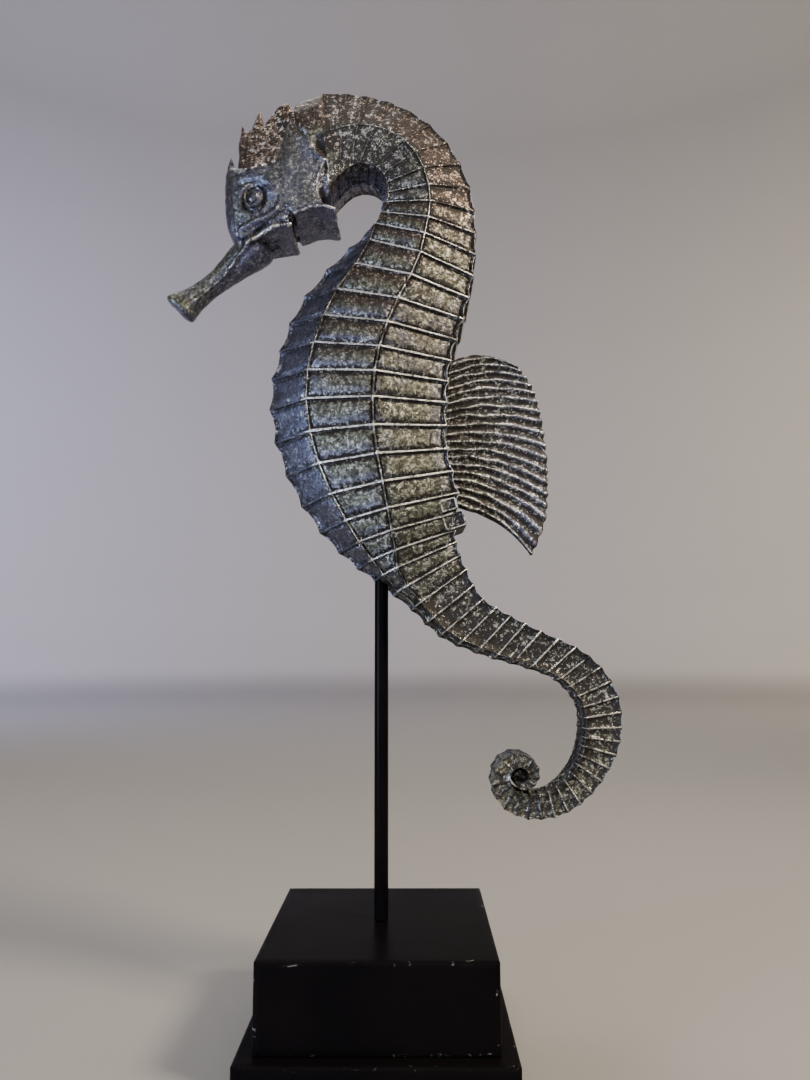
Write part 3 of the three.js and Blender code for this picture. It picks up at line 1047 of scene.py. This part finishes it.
def fin_point(down, out):
    """A point of the fin: down from its top ray to its lowest, and out from its root to its rim."""
    spot = []
    for axis in (0, 1):
        root, pull, _ = [mix(top[axis], foot[axis], down) for top, foot in zip(FIN_TOP, FIN_FOOT)]
        rim = along([(index, point[axis]) for index, point in enumerate(FIN_RIM)], down * (len(FIN_RIM) - 1))
        spot.append(root * (1 - out) ** 2 + pull * 2 * out * (1 - out) + rim * out ** 2)
    return spot


def ray_waver(down, out):
    """How far a ray strays at this point; its two ends stay in line."""
    broad = math.sin(9 * out + 31 * down) * math.sin(17 * down + 2.6 * out)
    fine = math.sin(21 * out - 47 * down + 1.3)
    return (BROAD_WAVER * broad + FINE_WAVER * fine) * math.sin(math.pi * min(1, out * 1.2))


def make_fin():
    fin = start(
        bpy.ops.mesh.primitive_grid_add, "back_fin", x_subdivisions=FIN_RAYS * STEPS_TO_A_RAY,
        y_subdivisions=STEPS_OUT, size=1,
    )
    grid = [(spot[0] + 0.5, spot[1] + 0.5) for spot in places(fin)]
    edit(fin)
    move_to(fin, [(x, 0, z) for x, z in (fin_point(down, out) for down, out in grid)])
    rest(fin)
    rays = []
    for down, out in grid:
        phase = (down * FIN_RAYS + ray_waver(down, out)) * 2 * math.pi
        rays.append((0.5 - 0.5 * math.cos(phase)) ** RAY_ROUNDNESS)
    weigh(fin, "rays", rays)
    weigh(fin, "thick", [1 - out for _, out in grid])
    set_values(fin, "ray", rays)
    set_values(fin, "out", [out for _, out in grid])
    finish_with(
        fin, "SOLIDIFY", thickness=FIN_THICKNESS * MM, offset=0, vertex_group="thick",
        thickness_vertex_group=FIN_RIM_SHARE,
    )
    finish_with(fin, "DISPLACE", vertex_group="rays", strength=RAY_HEIGHT * MM, mid_level=0)
    edit(fin)
    close_up(fin)
    roughen(fin, "CLOUDS", *FIN_GRAIN)
    ray, out = values_of(fin, "ray"), values_of(fin, "out")
    set_values(fin, "crest", 0.9 * ramp(ray, 0.8, 1))
    set_values(fin, "sunk", ramp(ray, 0.85, 0.45))
    set_values(fin, "cool", 0.7 * ramp(out, 0.35, 0.85))
    set_values(fin, "warm", 0.4 * ramp(out, 0.5, 0.1))
    return fin


# ------------ stand

ROD_FOOT = 66.3
ROD_TOP = 291
ROD_RADIUS = 4.2
ROD_STEPS = 14
ROD_STRAY = 0.006
ROD_BEVEL = 0.6
BLOCK_SIDE = 127
BLOCK_TOP = 66
PLINTH_SIDE = 145
PLINTH_TOP = 20
BASE_CORNER = 2.2
BASE_EDGE = 1.3
BASE_MARGIN = 5


def make_rod():
    """A rod drawn in short lengths, each a hair off true, as a painted one is."""
    rod = start(
        bpy.ops.mesh.primitive_cylinder_add, "rod_painted", vertices=32, radius=ROD_RADIUS * MM, depth=MM,
        location=(0, 0, (ROD_FOOT + 0.5) * MM),
    )
    edit(rod, "FACE")
    pick(rod, lambda face: face.normal.z > 0.9, "faces")
    for step in range(ROD_STEPS):
        push_out((0, 0, (ROD_TOP - ROD_FOOT - 1) / ROD_STEPS * MM))
        stray = 1 + ROD_STRAY * math.sin(2.4 * step)
        stretch((stray, stray, 1), (0, 0, 0))
    bpy.ops.mesh.select_mode(type="EDGE")
    pick(rod, lambda edge: edge.is_manifold and edge.calc_face_angle() > 1, "edges")
    bpy.ops.mesh.bevel(offset=ROD_BEVEL * MM, segments=3)
    rest(rod)
    return rod


def make_slab(name, side, low, high):
    """A square slab with its upright corners and its rims eased."""
    slab = start(bpy.ops.mesh.primitive_cube_add, name, size=1, location=(0, 0, (low + high) / 2 * MM))
    slab.scale = (side * MM, side * MM, (high - low) * MM)
    rest(slab)
    edit(slab, "FACE")
    select_all()
    inset(BASE_MARGIN)
    bpy.ops.mesh.select_mode(type="EDGE")
    upright = (high - low - 0.1) * MM
    pick(slab, lambda edge: abs(edge.verts[0].co.z - edge.verts[1].co.z) > upright, "edges")
    bpy.ops.mesh.bevel(offset=BASE_CORNER * MM, segments=3)
    pick(slab, lambda edge: 0.9 < abs(sum(face.normal.z for face in edge.link_faces)) < 1.5, "edges")
    bpy.ops.mesh.bevel(offset=BASE_EDGE * MM, segments=3)
    rest(slab)
    inside = np.array([side / 2, side / 2, (high - low) / 2]) - 2 * BASE_EDGE
    from_middle = np.abs(places(slab) / MM - np.array([0, 0, (low + high) / 2]))
    set_values(slab, "edge", (from_middle > inside).sum(axis=1) > 1)
    return slab


# ------------ wear and painted light: where the leaf is rubbed, dark or tinted

# To find the relief: how far around a point its surroundings are evened out, and what counts as full.
HEAD_RELIEF = (12, 0.7)
CROWN_RELIEF = (6, 0.32)
EYE_RELIEF = (6, 0.45)
REACH_STEPS = 14

# How far from a rib or a ridge the old wash lies full, and how far it reaches.
RIB_SHADE = (1.8, 5.8)
RIDGE_SHADE = (1.6, 5.0)

# Where the rows of panels meet, beside the belly and flank ridges, in shares of the depth.
KEEL_MARGIN = 0.03
FLANK_MARGIN = 0.05
AT_FLANK = 0.08

# The wear along the body, by ring: light on ribs and ridges, and dark beside them. On the keel side the ribs
# and ridges stay dim, as painted shade.
RIB_LIGHT = [(0, 0.9), (14, 0.95), (24, 0.95), (28, 0.85), (68, 0.8)]
RIDGE_LIGHT = [(0, 0.5), (10, 0.8), (24, 0.85), (30, 0.7), (49, 0.6), (52, 0.2), (68, 0.1)]
FLANK_LIGHT = [(0, 0.5), (5, 0.75), (8, 0.95), (13, 0.85), (16, 0.3), (27, 0.3), (68, 0.3)]
KEEL_LIGHT = 0.3
FRONT_FADE = [(4, 0.25), (10, 1)]
BACK_FADE = [(5.35, 0.15), (13, 1)]
GROOVED = [(49, 0), (52, 1)]
SHADE_SHARE = [(0, 0.7), (10, 1.1), (28, 1.1), (45, 0.7), (52, 0.3), (68, 0.2)]
KEEL_SHADE = 0.4
TAIL_DARK = [(25, 0), (29, 0.7), (38, 0.7), (50, 0)]
TAIL_DARK_SHARE = (0.95, 0.25)
TAIL_FROM = 27
INNER_TAIL_DARK = 0.6
# On the nape the ribs are grooves, with a bright plate between each two of them.
PLATE_LIGHT = [(0, 0.75), (15, 0)]
LAST_PLATE = 9
NAPE_DARK = [(8, 1), (10, 0)]
NECK_DARK = [(13, 0.16), (17, 0)]
# Copper on the nape. On each front panel of the chest, painted warm reflection on its upper half, which faces
# up to the warm lamp, and painted pale blue reflection along its lower edge.
NAPE_WARM = [(8, 1), (11.5, 0.3), (14, 0.3), (20, 0)]
CHEST_WARM = [(9, 0), (9.001, 1), (14, 1), (19, 0)]
UPPER_HALF = (0.6, 0.3)
LOWER_EDGE = (0.6, 0.8)
LOWER_COOL_RINGS = (14, 26)
BACK_COOL_RINGS = (13, 30)
BACK_COOL_FROM = 0.85
NECK_COOL_UNTIL = 12


def spread_out(values, ends, count, times):
    """Evens the values out between neighbouring points."""
    for _ in range(times):
        total = np.zeros_like(values)
        np.add.at(total, ends[:, 0], values[ends[:, 1]])
        np.add.at(total, ends[:, 1], values[ends[:, 0]])
        values = 0.5 * values + 0.5 * total / count
    return values


def find_relief(piece, steps, full):
    """Marks where the piece stands out and where it lies deep, against its surface evened out in steps."""
    spots = places(piece) / MM
    ends = edge_ends(piece)
    count = np.maximum(np.bincount(ends.ravel(), minlength=len(spots)), 1)[:, None]
    facing = spread_out(read(piece.data.vertices, "normal", 3), ends, count, 1)
    depth = ((spread_out(spots, ends, count, steps) - spots) * facing).sum(axis=1) / full
    set_values(piece, "sunk", np.clip(depth, 0, 1))
    set_values(piece, "crest", np.clip(-depth, 0, 1))


def shade_beside(start, ends, lengths, full_and_reach):
    """The old wash beside the starting points: full near them, and none beyond its reach."""
    full, furthest = full_and_reach
    reach = np.where(start, 0.0, furthest)
    for _ in range(REACH_STEPS):
        np.minimum.at(reach, ends[:, 0], reach[ends[:, 1]] + lengths)
        np.minimum.at(reach, ends[:, 1], reach[ends[:, 0]] + lengths)
    return ramp(reach, furthest, full)


def paint_body(body):
    """The ribs and ridges stand out; beside them each panel lies deep, and more so beside a rib."""
    spots = places(body) / MM
    ends = edge_ends(body)
    lengths = np.linalg.norm(spots[ends[:, 0]] - spots[ends[:, 1]], axis=1)
    touches = touched_parts(body)
    numbers, share, _, belly, flank = lie_of(body)
    along_panel = numbers % 1
    in_keel = share < belly - KEEL_MARGIN
    in_front = (share < flank + FLANK_MARGIN) & ~in_keel
    in_back = share >= flank + FLANK_MARGIN
    inner_tail = in_keel & (numbers > TAIL_FROM)
    grooved = look_up(numbers, GROOVED)

    # the keel side's ribs and ridges stay dim: painted shade
    rib_light = np.where(in_keel, KEEL_LIGHT * ~inner_tail, look_up(numbers, RIB_LIGHT))
    rib_light = np.where(in_front, rib_light * look_up(numbers, FRONT_FADE), rib_light)
    rib_light = np.where(in_back, rib_light * look_up(numbers, BACK_FADE), rib_light)
    ridge_light = np.where(
        np.abs(share - flank) < AT_FLANK, look_up(numbers, FLANK_LIGHT), look_up(numbers, RIDGE_LIGHT),
    )
    ridge_light = np.where(in_keel, KEEL_LIGHT, ridge_light)
    crest = np.maximum(touches[RIB] * rib_light * (1 - grooved), touches[RIDGE] * ridge_light)
    plates = in_back * (numbers < LAST_PLATE) * np.clip(1 - np.abs(along_panel - 0.5) / 0.3, 0, 1)
    set_values(body, "crest", np.maximum(crest, plates * look_up(numbers, PLATE_LIGHT)))

    beside_rib = shade_beside(touches[RIB], ends, lengths, RIB_SHADE) * np.where(along_panel < 0.5, 1, 0.75)
    beside_ridge = shade_beside(touches[RIDGE], ends, lengths, RIDGE_SHADE)
    beside = np.maximum(beside_rib, beside_ridge) * look_up(numbers, SHADE_SHARE)
    beside *= np.where(in_keel, KEEL_SHADE, 1)
    blackened = look_up(numbers, TAIL_DARK) * ramp(share, *TAIL_DARK_SHARE)
    proud = touches[RIB] | touches[RIDGE]
    sunk = np.where(proud, touches[RIB] * grooved, np.maximum(beside, blackened))
    grooves = np.clip((np.abs(along_panel - 0.5) - 0.1) / 0.3, 0, 0.8)
    sunk = np.maximum(sunk, in_back * look_up(numbers, NAPE_DARK) * grooves)
    sunk = np.maximum(sunk, in_back * look_up(numbers, NECK_DARK))
    set_values(body, "sunk", np.where(inner_tail, INNER_TAIL_DARK, sunk))

    # painted reflection: copper on the upper half of each chest panel, pale blue along its lower edge
    upper_half = ramp(along_panel, *UPPER_HALF) * in_front * look_up(numbers, CHEST_WARM)
    set_values(body, "warm", in_back * look_up(numbers, NAPE_WARM) + 0.9 * upper_half + 0.9 * inner_tail)
    lower_edge = ramp(along_panel, *LOWER_EDGE) * in_front * is_among(numbers, LOWER_COOL_RINGS)
    along_back = in_back & (share > BACK_COOL_FROM) & is_among(numbers, BACK_COOL_RINGS)
    # the keel side gets a painted blue cast of the cool lamp; the back edge gets a faint blue too
    keel_cool = 0.8 * in_keel * (numbers < TAIL_FROM) + 0.2 * (in_keel & (numbers < NECK_COOL_UNTIL))
    set_values(body, "cool", keel_cool + 0.6 * lower_edge + 0.35 * along_back)


# The head's marks, painted shade and reflection among them. Spots: centre x, z, half sizes and core. Lines:
# foot x, z, slant and half width.
HOLLOW = (-35.5, 542, 6, 6, 1.3)
BROW = (-82, 531, 12, 7, 1.4)
BAND = (-50, 545, 0.4, 5)
FOLD = (-61, 567, 0.5, 3)
CROWN_BAND = (-66, 567, 0.5, 4)
# Where each part of the head begins, and where it is there in full.
NAPE_UP = (552, 558)
NAPE_BACK = (-60, -57)
FACE_FRONT = (-96, -98)
CHEEK_DOWN = (548, 542)
CROWN_BACK = (-92, -88)
RUBBED_DOWN = (560, 554)
RUBBED_BACK = (-84, -78)
NECK_HOLLOW = (-34.6, 543.6)
NECK_HOLLOW_REACH = (8.2, 6.4)


def near_spot(x, z, spot):
    """1 around a spot on the side of the head, and 0 beyond its size."""
    centre_x, centre_z, half_long, half_high, core = spot
    return np.clip(core - np.hypot((x - centre_x) / half_long, (z - centre_z) / half_high), 0, 1)


def near_line(x, z, line):
    """1 along a slanting line on the side of the head, and 0 away from it."""
    foot_x, foot_z, slant, half_width = line
    return np.clip(1.3 - np.abs(x - foot_x - slant * (foot_z - z)) / half_width, 0, 1)


def under_line(x, z, line_z):
    """1 below a line on the side of the head, and 0 above it."""
    return np.clip((line_z - z) / 2, 0, 1)


def paint_head(head):
    """Copper on the nape and a blue tint on the front; painted cool reflection on the brow, and painted
    shade, blue and a little darker, on what faces down and under the jaw and gill.
    """
    x, _, z = (places(head) / MM).T
    facing_up = read(head.data.vertices, "normal", 3)[:, 2]
    nape = ramp(z, *NAPE_UP) * ramp(x, *NAPE_BACK)
    hollow = near_spot(x, z, HOLLOW)
    front = ramp(x, *FACE_FRONT) * (z > 484)
    # painted pale blue reflection on the brow, with its rubbed shine dimmed
    brow = near_spot(x, z, BROW)
    band = near_line(x, z, BAND) * (z > 534)
    # a dark line behind the crown, along its join to the nape: painted shade
    fold = near_line(x, z, FOLD) * (z > 550)
    # under the gill cover and under the jaw: painted shade
    under_gill = under_line(x, z, 498 + 0.1 * (x + 40)) * (x > -57)
    under_jaw = under_line(x, z, 488.5 + 0.42 * np.minimum(x + 61, 0)) * (x > -92)
    # what faces down, found by its own normal: painted shade, blue
    facing_down = np.clip(-facing_up * 1.2 - 0.1, 0, 1)
    below = np.maximum(under_gill, under_jaw)
    cheek = 0.25 * ramp(z, *CHEEK_DOWN) * (x > -98)
    cool = np.maximum.reduce([facing_down, below, 0.6 * brow, 0.7 * band]) + cheek
    set_values(head, "cool", np.clip(cool + 0.8 * front, 0, 1))
    set_values(head, "warm", np.maximum.reduce([nape, hollow, 0.5 * front]))
    # the undersides and the line behind the crown get painted shade besides the wash in the hollows
    sunk = values_of(head, "sunk") + 0.08 * below + hollow + 0.8 * fold
    set_values(head, "crest", 0.8 * values_of(head, "crest") * (1 - 0.6 * brow))
    set_values(head, "sunk", np.clip(sunk, 0, 1))


def paint_hollow(skin):
    """Dark copper in the hollow where the head meets the neck, on both sides of the join."""
    x, _, z = (places(skin) / MM).T
    share = ramp(np.hypot(x - NECK_HOLLOW[0], z - NECK_HOLLOW[1]), *NECK_HOLLOW_REACH)
    set_values(skin, "sunk", np.maximum(values_of(skin, "sunk"), 0.85 * share))
    set_values(skin, "warm", np.maximum(values_of(skin, "warm"), share))
    for cast in ("cool", "crest"):
        set_values(skin, cast, values_of(skin, cast) * (1 - share))


def paint_crown(crown):
    """Rubbed bright low on the hammered sides, and a dark band of painted shade down the back."""
    x, _, z = (places(crown) / MM).T
    hammered = ramp(x, *CROWN_BACK) * ramp(z, *HAMMERED_UNDER)
    low_rear = ramp(z, *RUBBED_DOWN) * ramp(x, *RUBBED_BACK)
    # painted shade down the back of the crown
    band = near_line(x, z, CROWN_BAND)
    crest = np.maximum(values_of(crown, "crest"), hammered * (0.26 + 0.24 * low_rear))
    set_values(crown, "crest", crest * (1 - band))
    set_values(crown, "sunk", np.maximum(values_of(crown, "sunk") + 0.1 * hammered, band))


# ------------ finishes

LEAF_NUMBERS = {"Crest": 0, "Sunk": 0, "Cool": 0, "Warm": 0, "Spark": 0.57}
# The blue and copper tints are the leaf's own tones and, where the masks put them, painted reflection; the
# darkest colour is the old wash and also painted shade.
LEAF_COLOURS = {
    "Rubbed": (0.58, 0.58, 0.55), "Leaf": (0.15, 0.158, 0.122), "Second Leaf": (0.052, 0.051, 0.039),
    "Cool Leaf And Sheen": (0.1, 0.106, 0.18), "Warm Leaf And Sheen": (0.05, 0.036, 0.031), "Old Wash And Shade": (0.012, 0.009, 0.007),
}
COPPER = {
    "Spark": 1, "Rubbed": (0.72, 0.66, 0.6), "Leaf": (0.11, 0.068, 0.045),
    "Second Leaf": (0.06, 0.042, 0.033), "Cool Leaf And Sheen": (0.085, 0.072, 0.08),
}
EYE_SILVER = {"Leaf": (0.07, 0.07, 0.06), "Second Leaf": (0.04, 0.038, 0.035)}
COPPERY_SPARK = (0.56, 0.43, 0.37, 1)
PAINT_COLOURS = {"Paint": (0.0035, 0.003, 0.0035), "Worn": (0.3, 0.28, 0.26)}
PAINT_CLOUD = (0.006, 0.005, 0.005, 1)
PAPER = (0.53, 0.505, 0.475)
FLOOR_SHARE = 0.6


def feed(tree, socket, value):
    """Links a reading to a socket, or sets a plain value on it."""
    if isinstance(value, Reading):
        tree.links.new(value.socket, socket)
    else:
        socket.default_value = value


class Reading:
    """A number or colour that a finish works out at each point of the surface."""

    def __init__(self, tree, socket):
        self.tree = tree
        self.socket = socket

    def reckon(self, way, first, second):
        node = self.tree.nodes.new("ShaderNodeMath")
        node.operation = way
        feed(self.tree, node.inputs[0], first)
        feed(self.tree, node.inputs[1], second)
        return Reading(self.tree, node.outputs["Value"])

    def __add__(self, other):
        return self.reckon("ADD", self, other)

    def __sub__(self, other):
        return self.reckon("SUBTRACT", self, other)

    def __rsub__(self, other):
        return self.reckon("SUBTRACT", other, self)

    def __mul__(self, other):
        return self.reckon("MULTIPLY", self, other)

    def or_more(self, other):
        return self.reckon("MAXIMUM", self, other)

    def between(self, low, high, to_low=0, to_high=1):
        """Eases a value from one span to another."""
        node = self.tree.nodes.new("ShaderNodeMapRange")
        node.interpolation_type = "SMOOTHSTEP"
        feed(self.tree, node.inputs["Value"], self)
        for label, value in zip(("From Min", "From Max", "To Min", "To Max"), (low, high, to_low, to_high)):
            node.inputs[label].default_value = value
        return Reading(self.tree, node.outputs["Result"])

    def noise(self, size, detail=3, rough=0.5, twist=0):
        """At this place, a cloudy pattern whose marks are about this many millimetres across."""
        node = self.tree.nodes.new("ShaderNodeTexNoise")
        feed(self.tree, node.inputs["Vector"], self)
        node.inputs["Scale"].default_value = 1 / (size * MM)
        node.inputs["Detail"].default_value = detail
        node.inputs["Roughness"].default_value = rough
        node.inputs["Distortion"].default_value = twist
        return Reading(self.tree, node.outputs["Fac"])

    def tint(self, first, second):
        """From the first colour to the second, by this share."""
        node = self.tree.nodes.new("ShaderNodeMix")
        node.data_type = "RGBA"
        for socket, value in zip((node.inputs[0], node.inputs[6], node.inputs[7]), (self, first, second)):
            feed(self.tree, socket, value)
        return Reading(self.tree, node.outputs[2])


def value_of(tree, name):
    node = tree.nodes.new("ShaderNodeAttribute")
    node.attribute_name = name
    return Reading(tree, node.outputs["Fac"])


def own_place(tree):
    return Reading(tree, tree.nodes.new("ShaderNodeTexCoord").outputs["Object"])


def make_group(name, numbers, colours, outputs):
    """An effect that several finishes share. Its outputs are named after the surface's own inputs."""
    group = bpy.data.node_groups.new(name, "ShaderNodeTree")
    group.interface.new_socket("Place", in_out="INPUT", socket_type="NodeSocketVector")
    for label, value in numbers.items():
        socket = group.interface.new_socket(label, in_out="INPUT", socket_type="NodeSocketFloat")
        socket.default_value = value
    for label, value in colours.items():
        socket = group.interface.new_socket(label, in_out="INPUT", socket_type="NodeSocketColor")
        socket.default_value = (*value, 1)
    group.interface.new_socket("Base Color", in_out="OUTPUT", socket_type="NodeSocketColor")
    for label in outputs:
        group.interface.new_socket(label, in_out="OUTPUT", socket_type="NodeSocketFloat")
    given = {socket.name: Reading(group, socket) for socket in group.nodes.new("NodeGroupInput").outputs}
    return group, given, group.nodes.new("NodeGroupOutput").inputs


def leaf_group():
    """Rubbed metal leaf: bright on what stands out, cloudy between, and dark with old wash in the hollows.
    Its blue and copper tints also carry painted reflection, and its dark wash also carries painted shade,
    where the masks put them.
    """
    group, given, made = make_group(
        "antique_leaf", LEAF_NUMBERS, LEAF_COLOURS, ("Roughness", "Metallic", "Height"),
    )
    place = given["Place"]
    mottle = place.noise(7, 4, 0.65, 0.4).between(0.3, 0.7)
    cloud = place.noise(28)
    cool_cloud = place.noise(34, 3, 0.6, 0.5)
    grain = place.noise(2.6, 4, 0.75).between(0.32, 0.68)
    speck = place.noise(1.2, 3, 0.7).between(0.34, 0.66)
    leaf = grain.between(0.1, 0.9).tint(given["Leaf"], given["Second Leaf"])
    leaf = cool_cloud.between(0.48, 0.66, 0, 0.4).tint(leaf, given["Cool Leaf And Sheen"])
    # the Cool and Warm masks: the leaf's own blue and copper, and painted reflection in places
    leaf = (given["Cool"] * 0.9).tint(leaf, given["Cool Leaf And Sheen"])
    leaf = (given["Warm"] * mottle.between(0, 0.6, 0.6, 1)).tint(leaf, given["Warm Leaf And Sheen"])
    # below zero where the leaf is bright and whole, above where it is pitted
    pitted = (grain - 0.5) * 0.7 + (speck - 0.5) * 0.6 + (mottle - 0.5) * 0.35
    # the old wash, and painted shade where the Sunk mask carries it
    wash_and_shade = (given["Sunk"] + pitted).between(0.3, 0.5)
    rub = (given["Crest"] - pitted * 0.8).between(0.5, 0.95)
    spark = pitted.between(-0.2, -0.5) * (given["Spark"] + given["Warm"] * 0.25)
    bright = (given["Warm"] * (1 - rub)).tint(given["Rubbed"], COPPERY_SPARK)
    feed(group, made["Base Color"], rub.or_more(spark).tint(wash_and_shade.tint(leaf, given["Old Wash And Shade"]), bright))
    feed(group, made["Roughness"], cloud.between(0.3, 0.7, 0.26, 0.36) + wash_and_shade * 0.3 - rub * 0.06)
    feed(group, made["Metallic"], 0.95 - wash_and_shade * 0.6)
    feed(group, made["Height"], speck * -0.3 + grain * -0.5 + mottle * 0.3)
    return group


def paint_group():
    """Satin black paint: faintly cloudy, scuffed, and worn pale along its edges."""
    group, given, made = make_group(
        "satin_paint", {"Edge": 0, "Least Roughness": 0.3}, PAINT_COLOURS, ("Roughness", "Height"),
    )
    place = given["Place"]
    cloud = place.noise(60)
    scuff = place.noise(9, 5, 0.75, 1.5)
    worn = (given["Edge"] + (scuff - 0.5) * 2.2).between(1.2, 1.5)
    marks = scuff.between(0.69, 0.74, 0, 0.12)
    paint = cloud.between(0.35, 0.65, 0, 0.5).tint(given["Paint"], PAINT_CLOUD)
    feed(group, made["Base Color"], (worn * 0.8).or_more(marks).tint(paint, given["Worn"]))
    rough = given["Least Roughness"] + cloud.between(0.3, 0.7, 0, 0.08) + marks * 1.2 + worn * 0.2
    feed(group, made["Roughness"], rough)
    feed(group, made["Height"], place.noise(1.4, 3, 0.6))
    return group


def new_finish(name):
    finish = bpy.data.materials.new(name)
    finish.use_nodes = True
    return finish, finish.node_tree, finish.node_tree.nodes["Principled BSDF"]


def make_finish(name, group, masks, bump_depth, bump_strength, values):
    """A finish from a shared effect: the masks it reads, how its grain stands up, and its own values."""
    finish, tree, surface = new_finish(name)
    effect = tree.nodes.new("ShaderNodeGroup")
    effect.node_tree = group
    feed(tree, effect.inputs["Place"], own_place(tree))
    for mask in masks:
        feed(tree, effect.inputs[mask.title()], value_of(tree, mask))
    for label, value in values.items():
        effect.inputs[label].default_value = (*value, 1) if isinstance(value, tuple) else value
    bump = tree.nodes.new("ShaderNodeBump")
    bump.inputs["Distance"].default_value = bump_depth * MM
    bump.inputs["Strength"].default_value = bump_strength
    tree.links.new(effect.outputs["Height"], bump.inputs["Height"])
    tree.links.new(bump.outputs["Normal"], surface.inputs["Normal"])
    for output in effect.outputs:
        if output.name != "Height":
            tree.links.new(output, surface.inputs[output.name])
    return finish, surface


def leaf_finish(name, group, bump, values):
    return make_finish(name, group, ("crest", "sunk", "cool", "warm"), 0.4, bump, values)[0]


def paint_finish(name, group, values):
    finish, surface = make_finish(name, group, ("edge",), 0.02, 0.4, values)
    surface.inputs["IOR"].default_value = 1.1
    surface.inputs["Specular IOR Level"].default_value = 0.3
    return finish


def paper_finish(name):
    """Pale studio paper with a faint mottle, a little darker on the floor."""
    finish, tree, surface = new_finish(name)
    place = own_place(tree)
    split = tree.nodes.new("ShaderNodeSeparateXYZ")
    feed(tree, split.inputs["Vector"], place)
    on_floor = Reading(tree, split.outputs["Z"]).between(0.12, 0)
    darker = [FLOOR_SHARE * value for value in PAPER]
    colour = (on_floor + place.noise(400, 2) * 0.1).tint((*PAPER, 1), (*darker, 1))
    feed(tree, surface.inputs["Base Color"], colour)
    surface.inputs["Roughness"].default_value = 0.9
    return finish


# ------------ studio

# The round floor and the wall it sweeps up into: height and radius.
COVE_STEPS = [(0, 3000), (50, 3350), (200, 3700), (500, 3950), (1000, 4050), (3200, 4100)]
COVE_DROP = 0.4

# Lamps: place, width, power, colour and what it is aimed at.
STATUE = (10, 0, 330)
LAMPS = {
    "cool_window": ((-1300, -900, 100), 600, 44, (0.6, 0.72, 1), STATUE),
    "warm_lamp": ((1100, -600, 1300), 350, 34, (1, 0.84, 0.64), STATUE),
    "overhead": ((-200, 500, 2600), 1400, 30, (1, 0.98, 0.94), STATUE),
    "front_fill": ((300, -2200, 1200), 1500, 20, (1, 0.97, 0.93), STATUE),
    "cool_wash": ((-1900, 1500, 1500), 900, 44, (0.52, 0.58, 1), (-1500, 4000, 900)),
    "warm_wash": ((1900, 1500, 1500), 900, 28, (1, 0.86, 0.6), (1500, 4000, 900)),
}
AIR_COLOUR = (0.95, 0.96, 1, 1)
AIR_STRENGTH = 0.25


def make_cove():
    """A round floor that sweeps up into a wall all the way round."""
    cove = start(
        bpy.ops.mesh.primitive_circle_add, "studio_cove", vertices=64, radius=COVE_STEPS[0][1] * MM,
        fill_type="NGON", location=(0, 0, -COVE_DROP * MM),
    )
    edit(cove, "EDGE")
    pick(cove, lambda edge: len(edge.link_faces) == 1, "edges")
    draw_through([((0, 0, height), (radius, radius, 1)) for height, radius in COVE_STEPS])
    close_up(cove, inside=True)
    bpy.ops.object.shade_smooth()
    cove.data.materials.append(paper_finish("studio_paper"))


def light_studio():
    world = bpy.data.worlds.new("studio_air")
    world.use_nodes = True
    air = world.node_tree.nodes["Background"]
    air.inputs["Color"].default_value = AIR_COLOUR
    air.inputs["Strength"].default_value = AIR_STRENGTH
    bpy.context.scene.world = world
    for name, (place, size, power, colour, aim_at) in LAMPS.items():
        place = Vector(place) * MM
        aim = (Vector(aim_at) * MM - place).to_track_quat("-Z", "Y").to_euler()
        bpy.ops.object.light_add(type="AREA", location=place, rotation=aim)
        lamp = bpy.context.object
        lamp.name = name
        lamp.data.size = size * MM
        lamp.data.energy = power
        lamp.data.color = colour
        lamp.visible_camera = False


# ------------ making everything

def wear(piece, finish, replaced, angle=None):
    """Finishes a piece, sets it on the statue and hides the plain solids it stands for."""
    take(piece)
    if angle:
        bpy.ops.object.shade_smooth_by_angle(angle=math.radians(angle))
    else:
        bpy.ops.object.shade_smooth()
    piece.data.materials.clear()
    piece.data.materials.append(finish)
    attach(piece, "root")
    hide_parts(*replaced)


# The cast skin's unevenness: size and height of its dents, the broad ones first.
SKIN_GRAINS = [(7, 0.7), (2.6, 0.45)]
HARD_EDGE = 40

set_camera()

skin = make_body()
round_off(skin, 2)
dip_outline(skin)
head = make_head()
paint_body(skin)
find_relief(head, *HEAD_RELIEF)
paint_head(head)
# the head spends fewer faces where it is nearly flat
finish_with(head, "DECIMATE", decimate_type="COLLAPSE", ratio=HEAD_SHARE)
fuse(skin, head)
paint_hollow(skin)
add_cells(skin)
close_coil(skin)
for size, height in SKIN_GRAINS:
    roughen(skin, "CLOUDS", size, height)

crown = make_crown()
find_relief(crown, *CROWN_RELIEF)
paint_crown(crown)
fin = make_fin()
eyes = [make_eye("eye_ball_near", -1), make_eye("eye_ball_far", 1)]
for eye in eyes:
    find_relief(eye, *EYE_RELIEF)

leaf = leaf_group()
silver = leaf_finish("silver_leaf_rubbed", leaf, 0.8, {})
copper = leaf_finish("copper_leaf_rubbed", leaf, 0.8, COPPER)
eye_silver = leaf_finish("eye_silver_rubbed", leaf, 0.3, EYE_SILVER)
paint = paint_group()
block_paint = paint_finish("block_satin_black", paint, {})
rod_paint = paint_finish("rod_satin_black", paint, {"Least Roughness": 0.2})

flesh = ("neck_", "trunk_", "tail_", "head", "snout")
wear(skin, silver, [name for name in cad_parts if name.startswith(flesh)])
wear(crown, copper, ["coronet"])
wear(fin, silver, ["dorsal_fin"])
wear(eyes[0], eye_silver, ["eye_left"])
wear(eyes[1], eye_silver, ["eye_right"])
wear(make_rod(), rod_paint, ["stand_rod"], HARD_EDGE)
block = make_slab("block_painted", BLOCK_SIDE, PLINTH_TOP, BLOCK_TOP)
wear(block, block_paint, ["stand_block"], HARD_EDGE)
plinth = make_slab("plinth_painted", PLINTH_SIDE, 0, PLINTH_TOP)
wear(plinth, block_paint, ["stand_plinth"], HARD_EDGE)

make_cove()
light_studio()
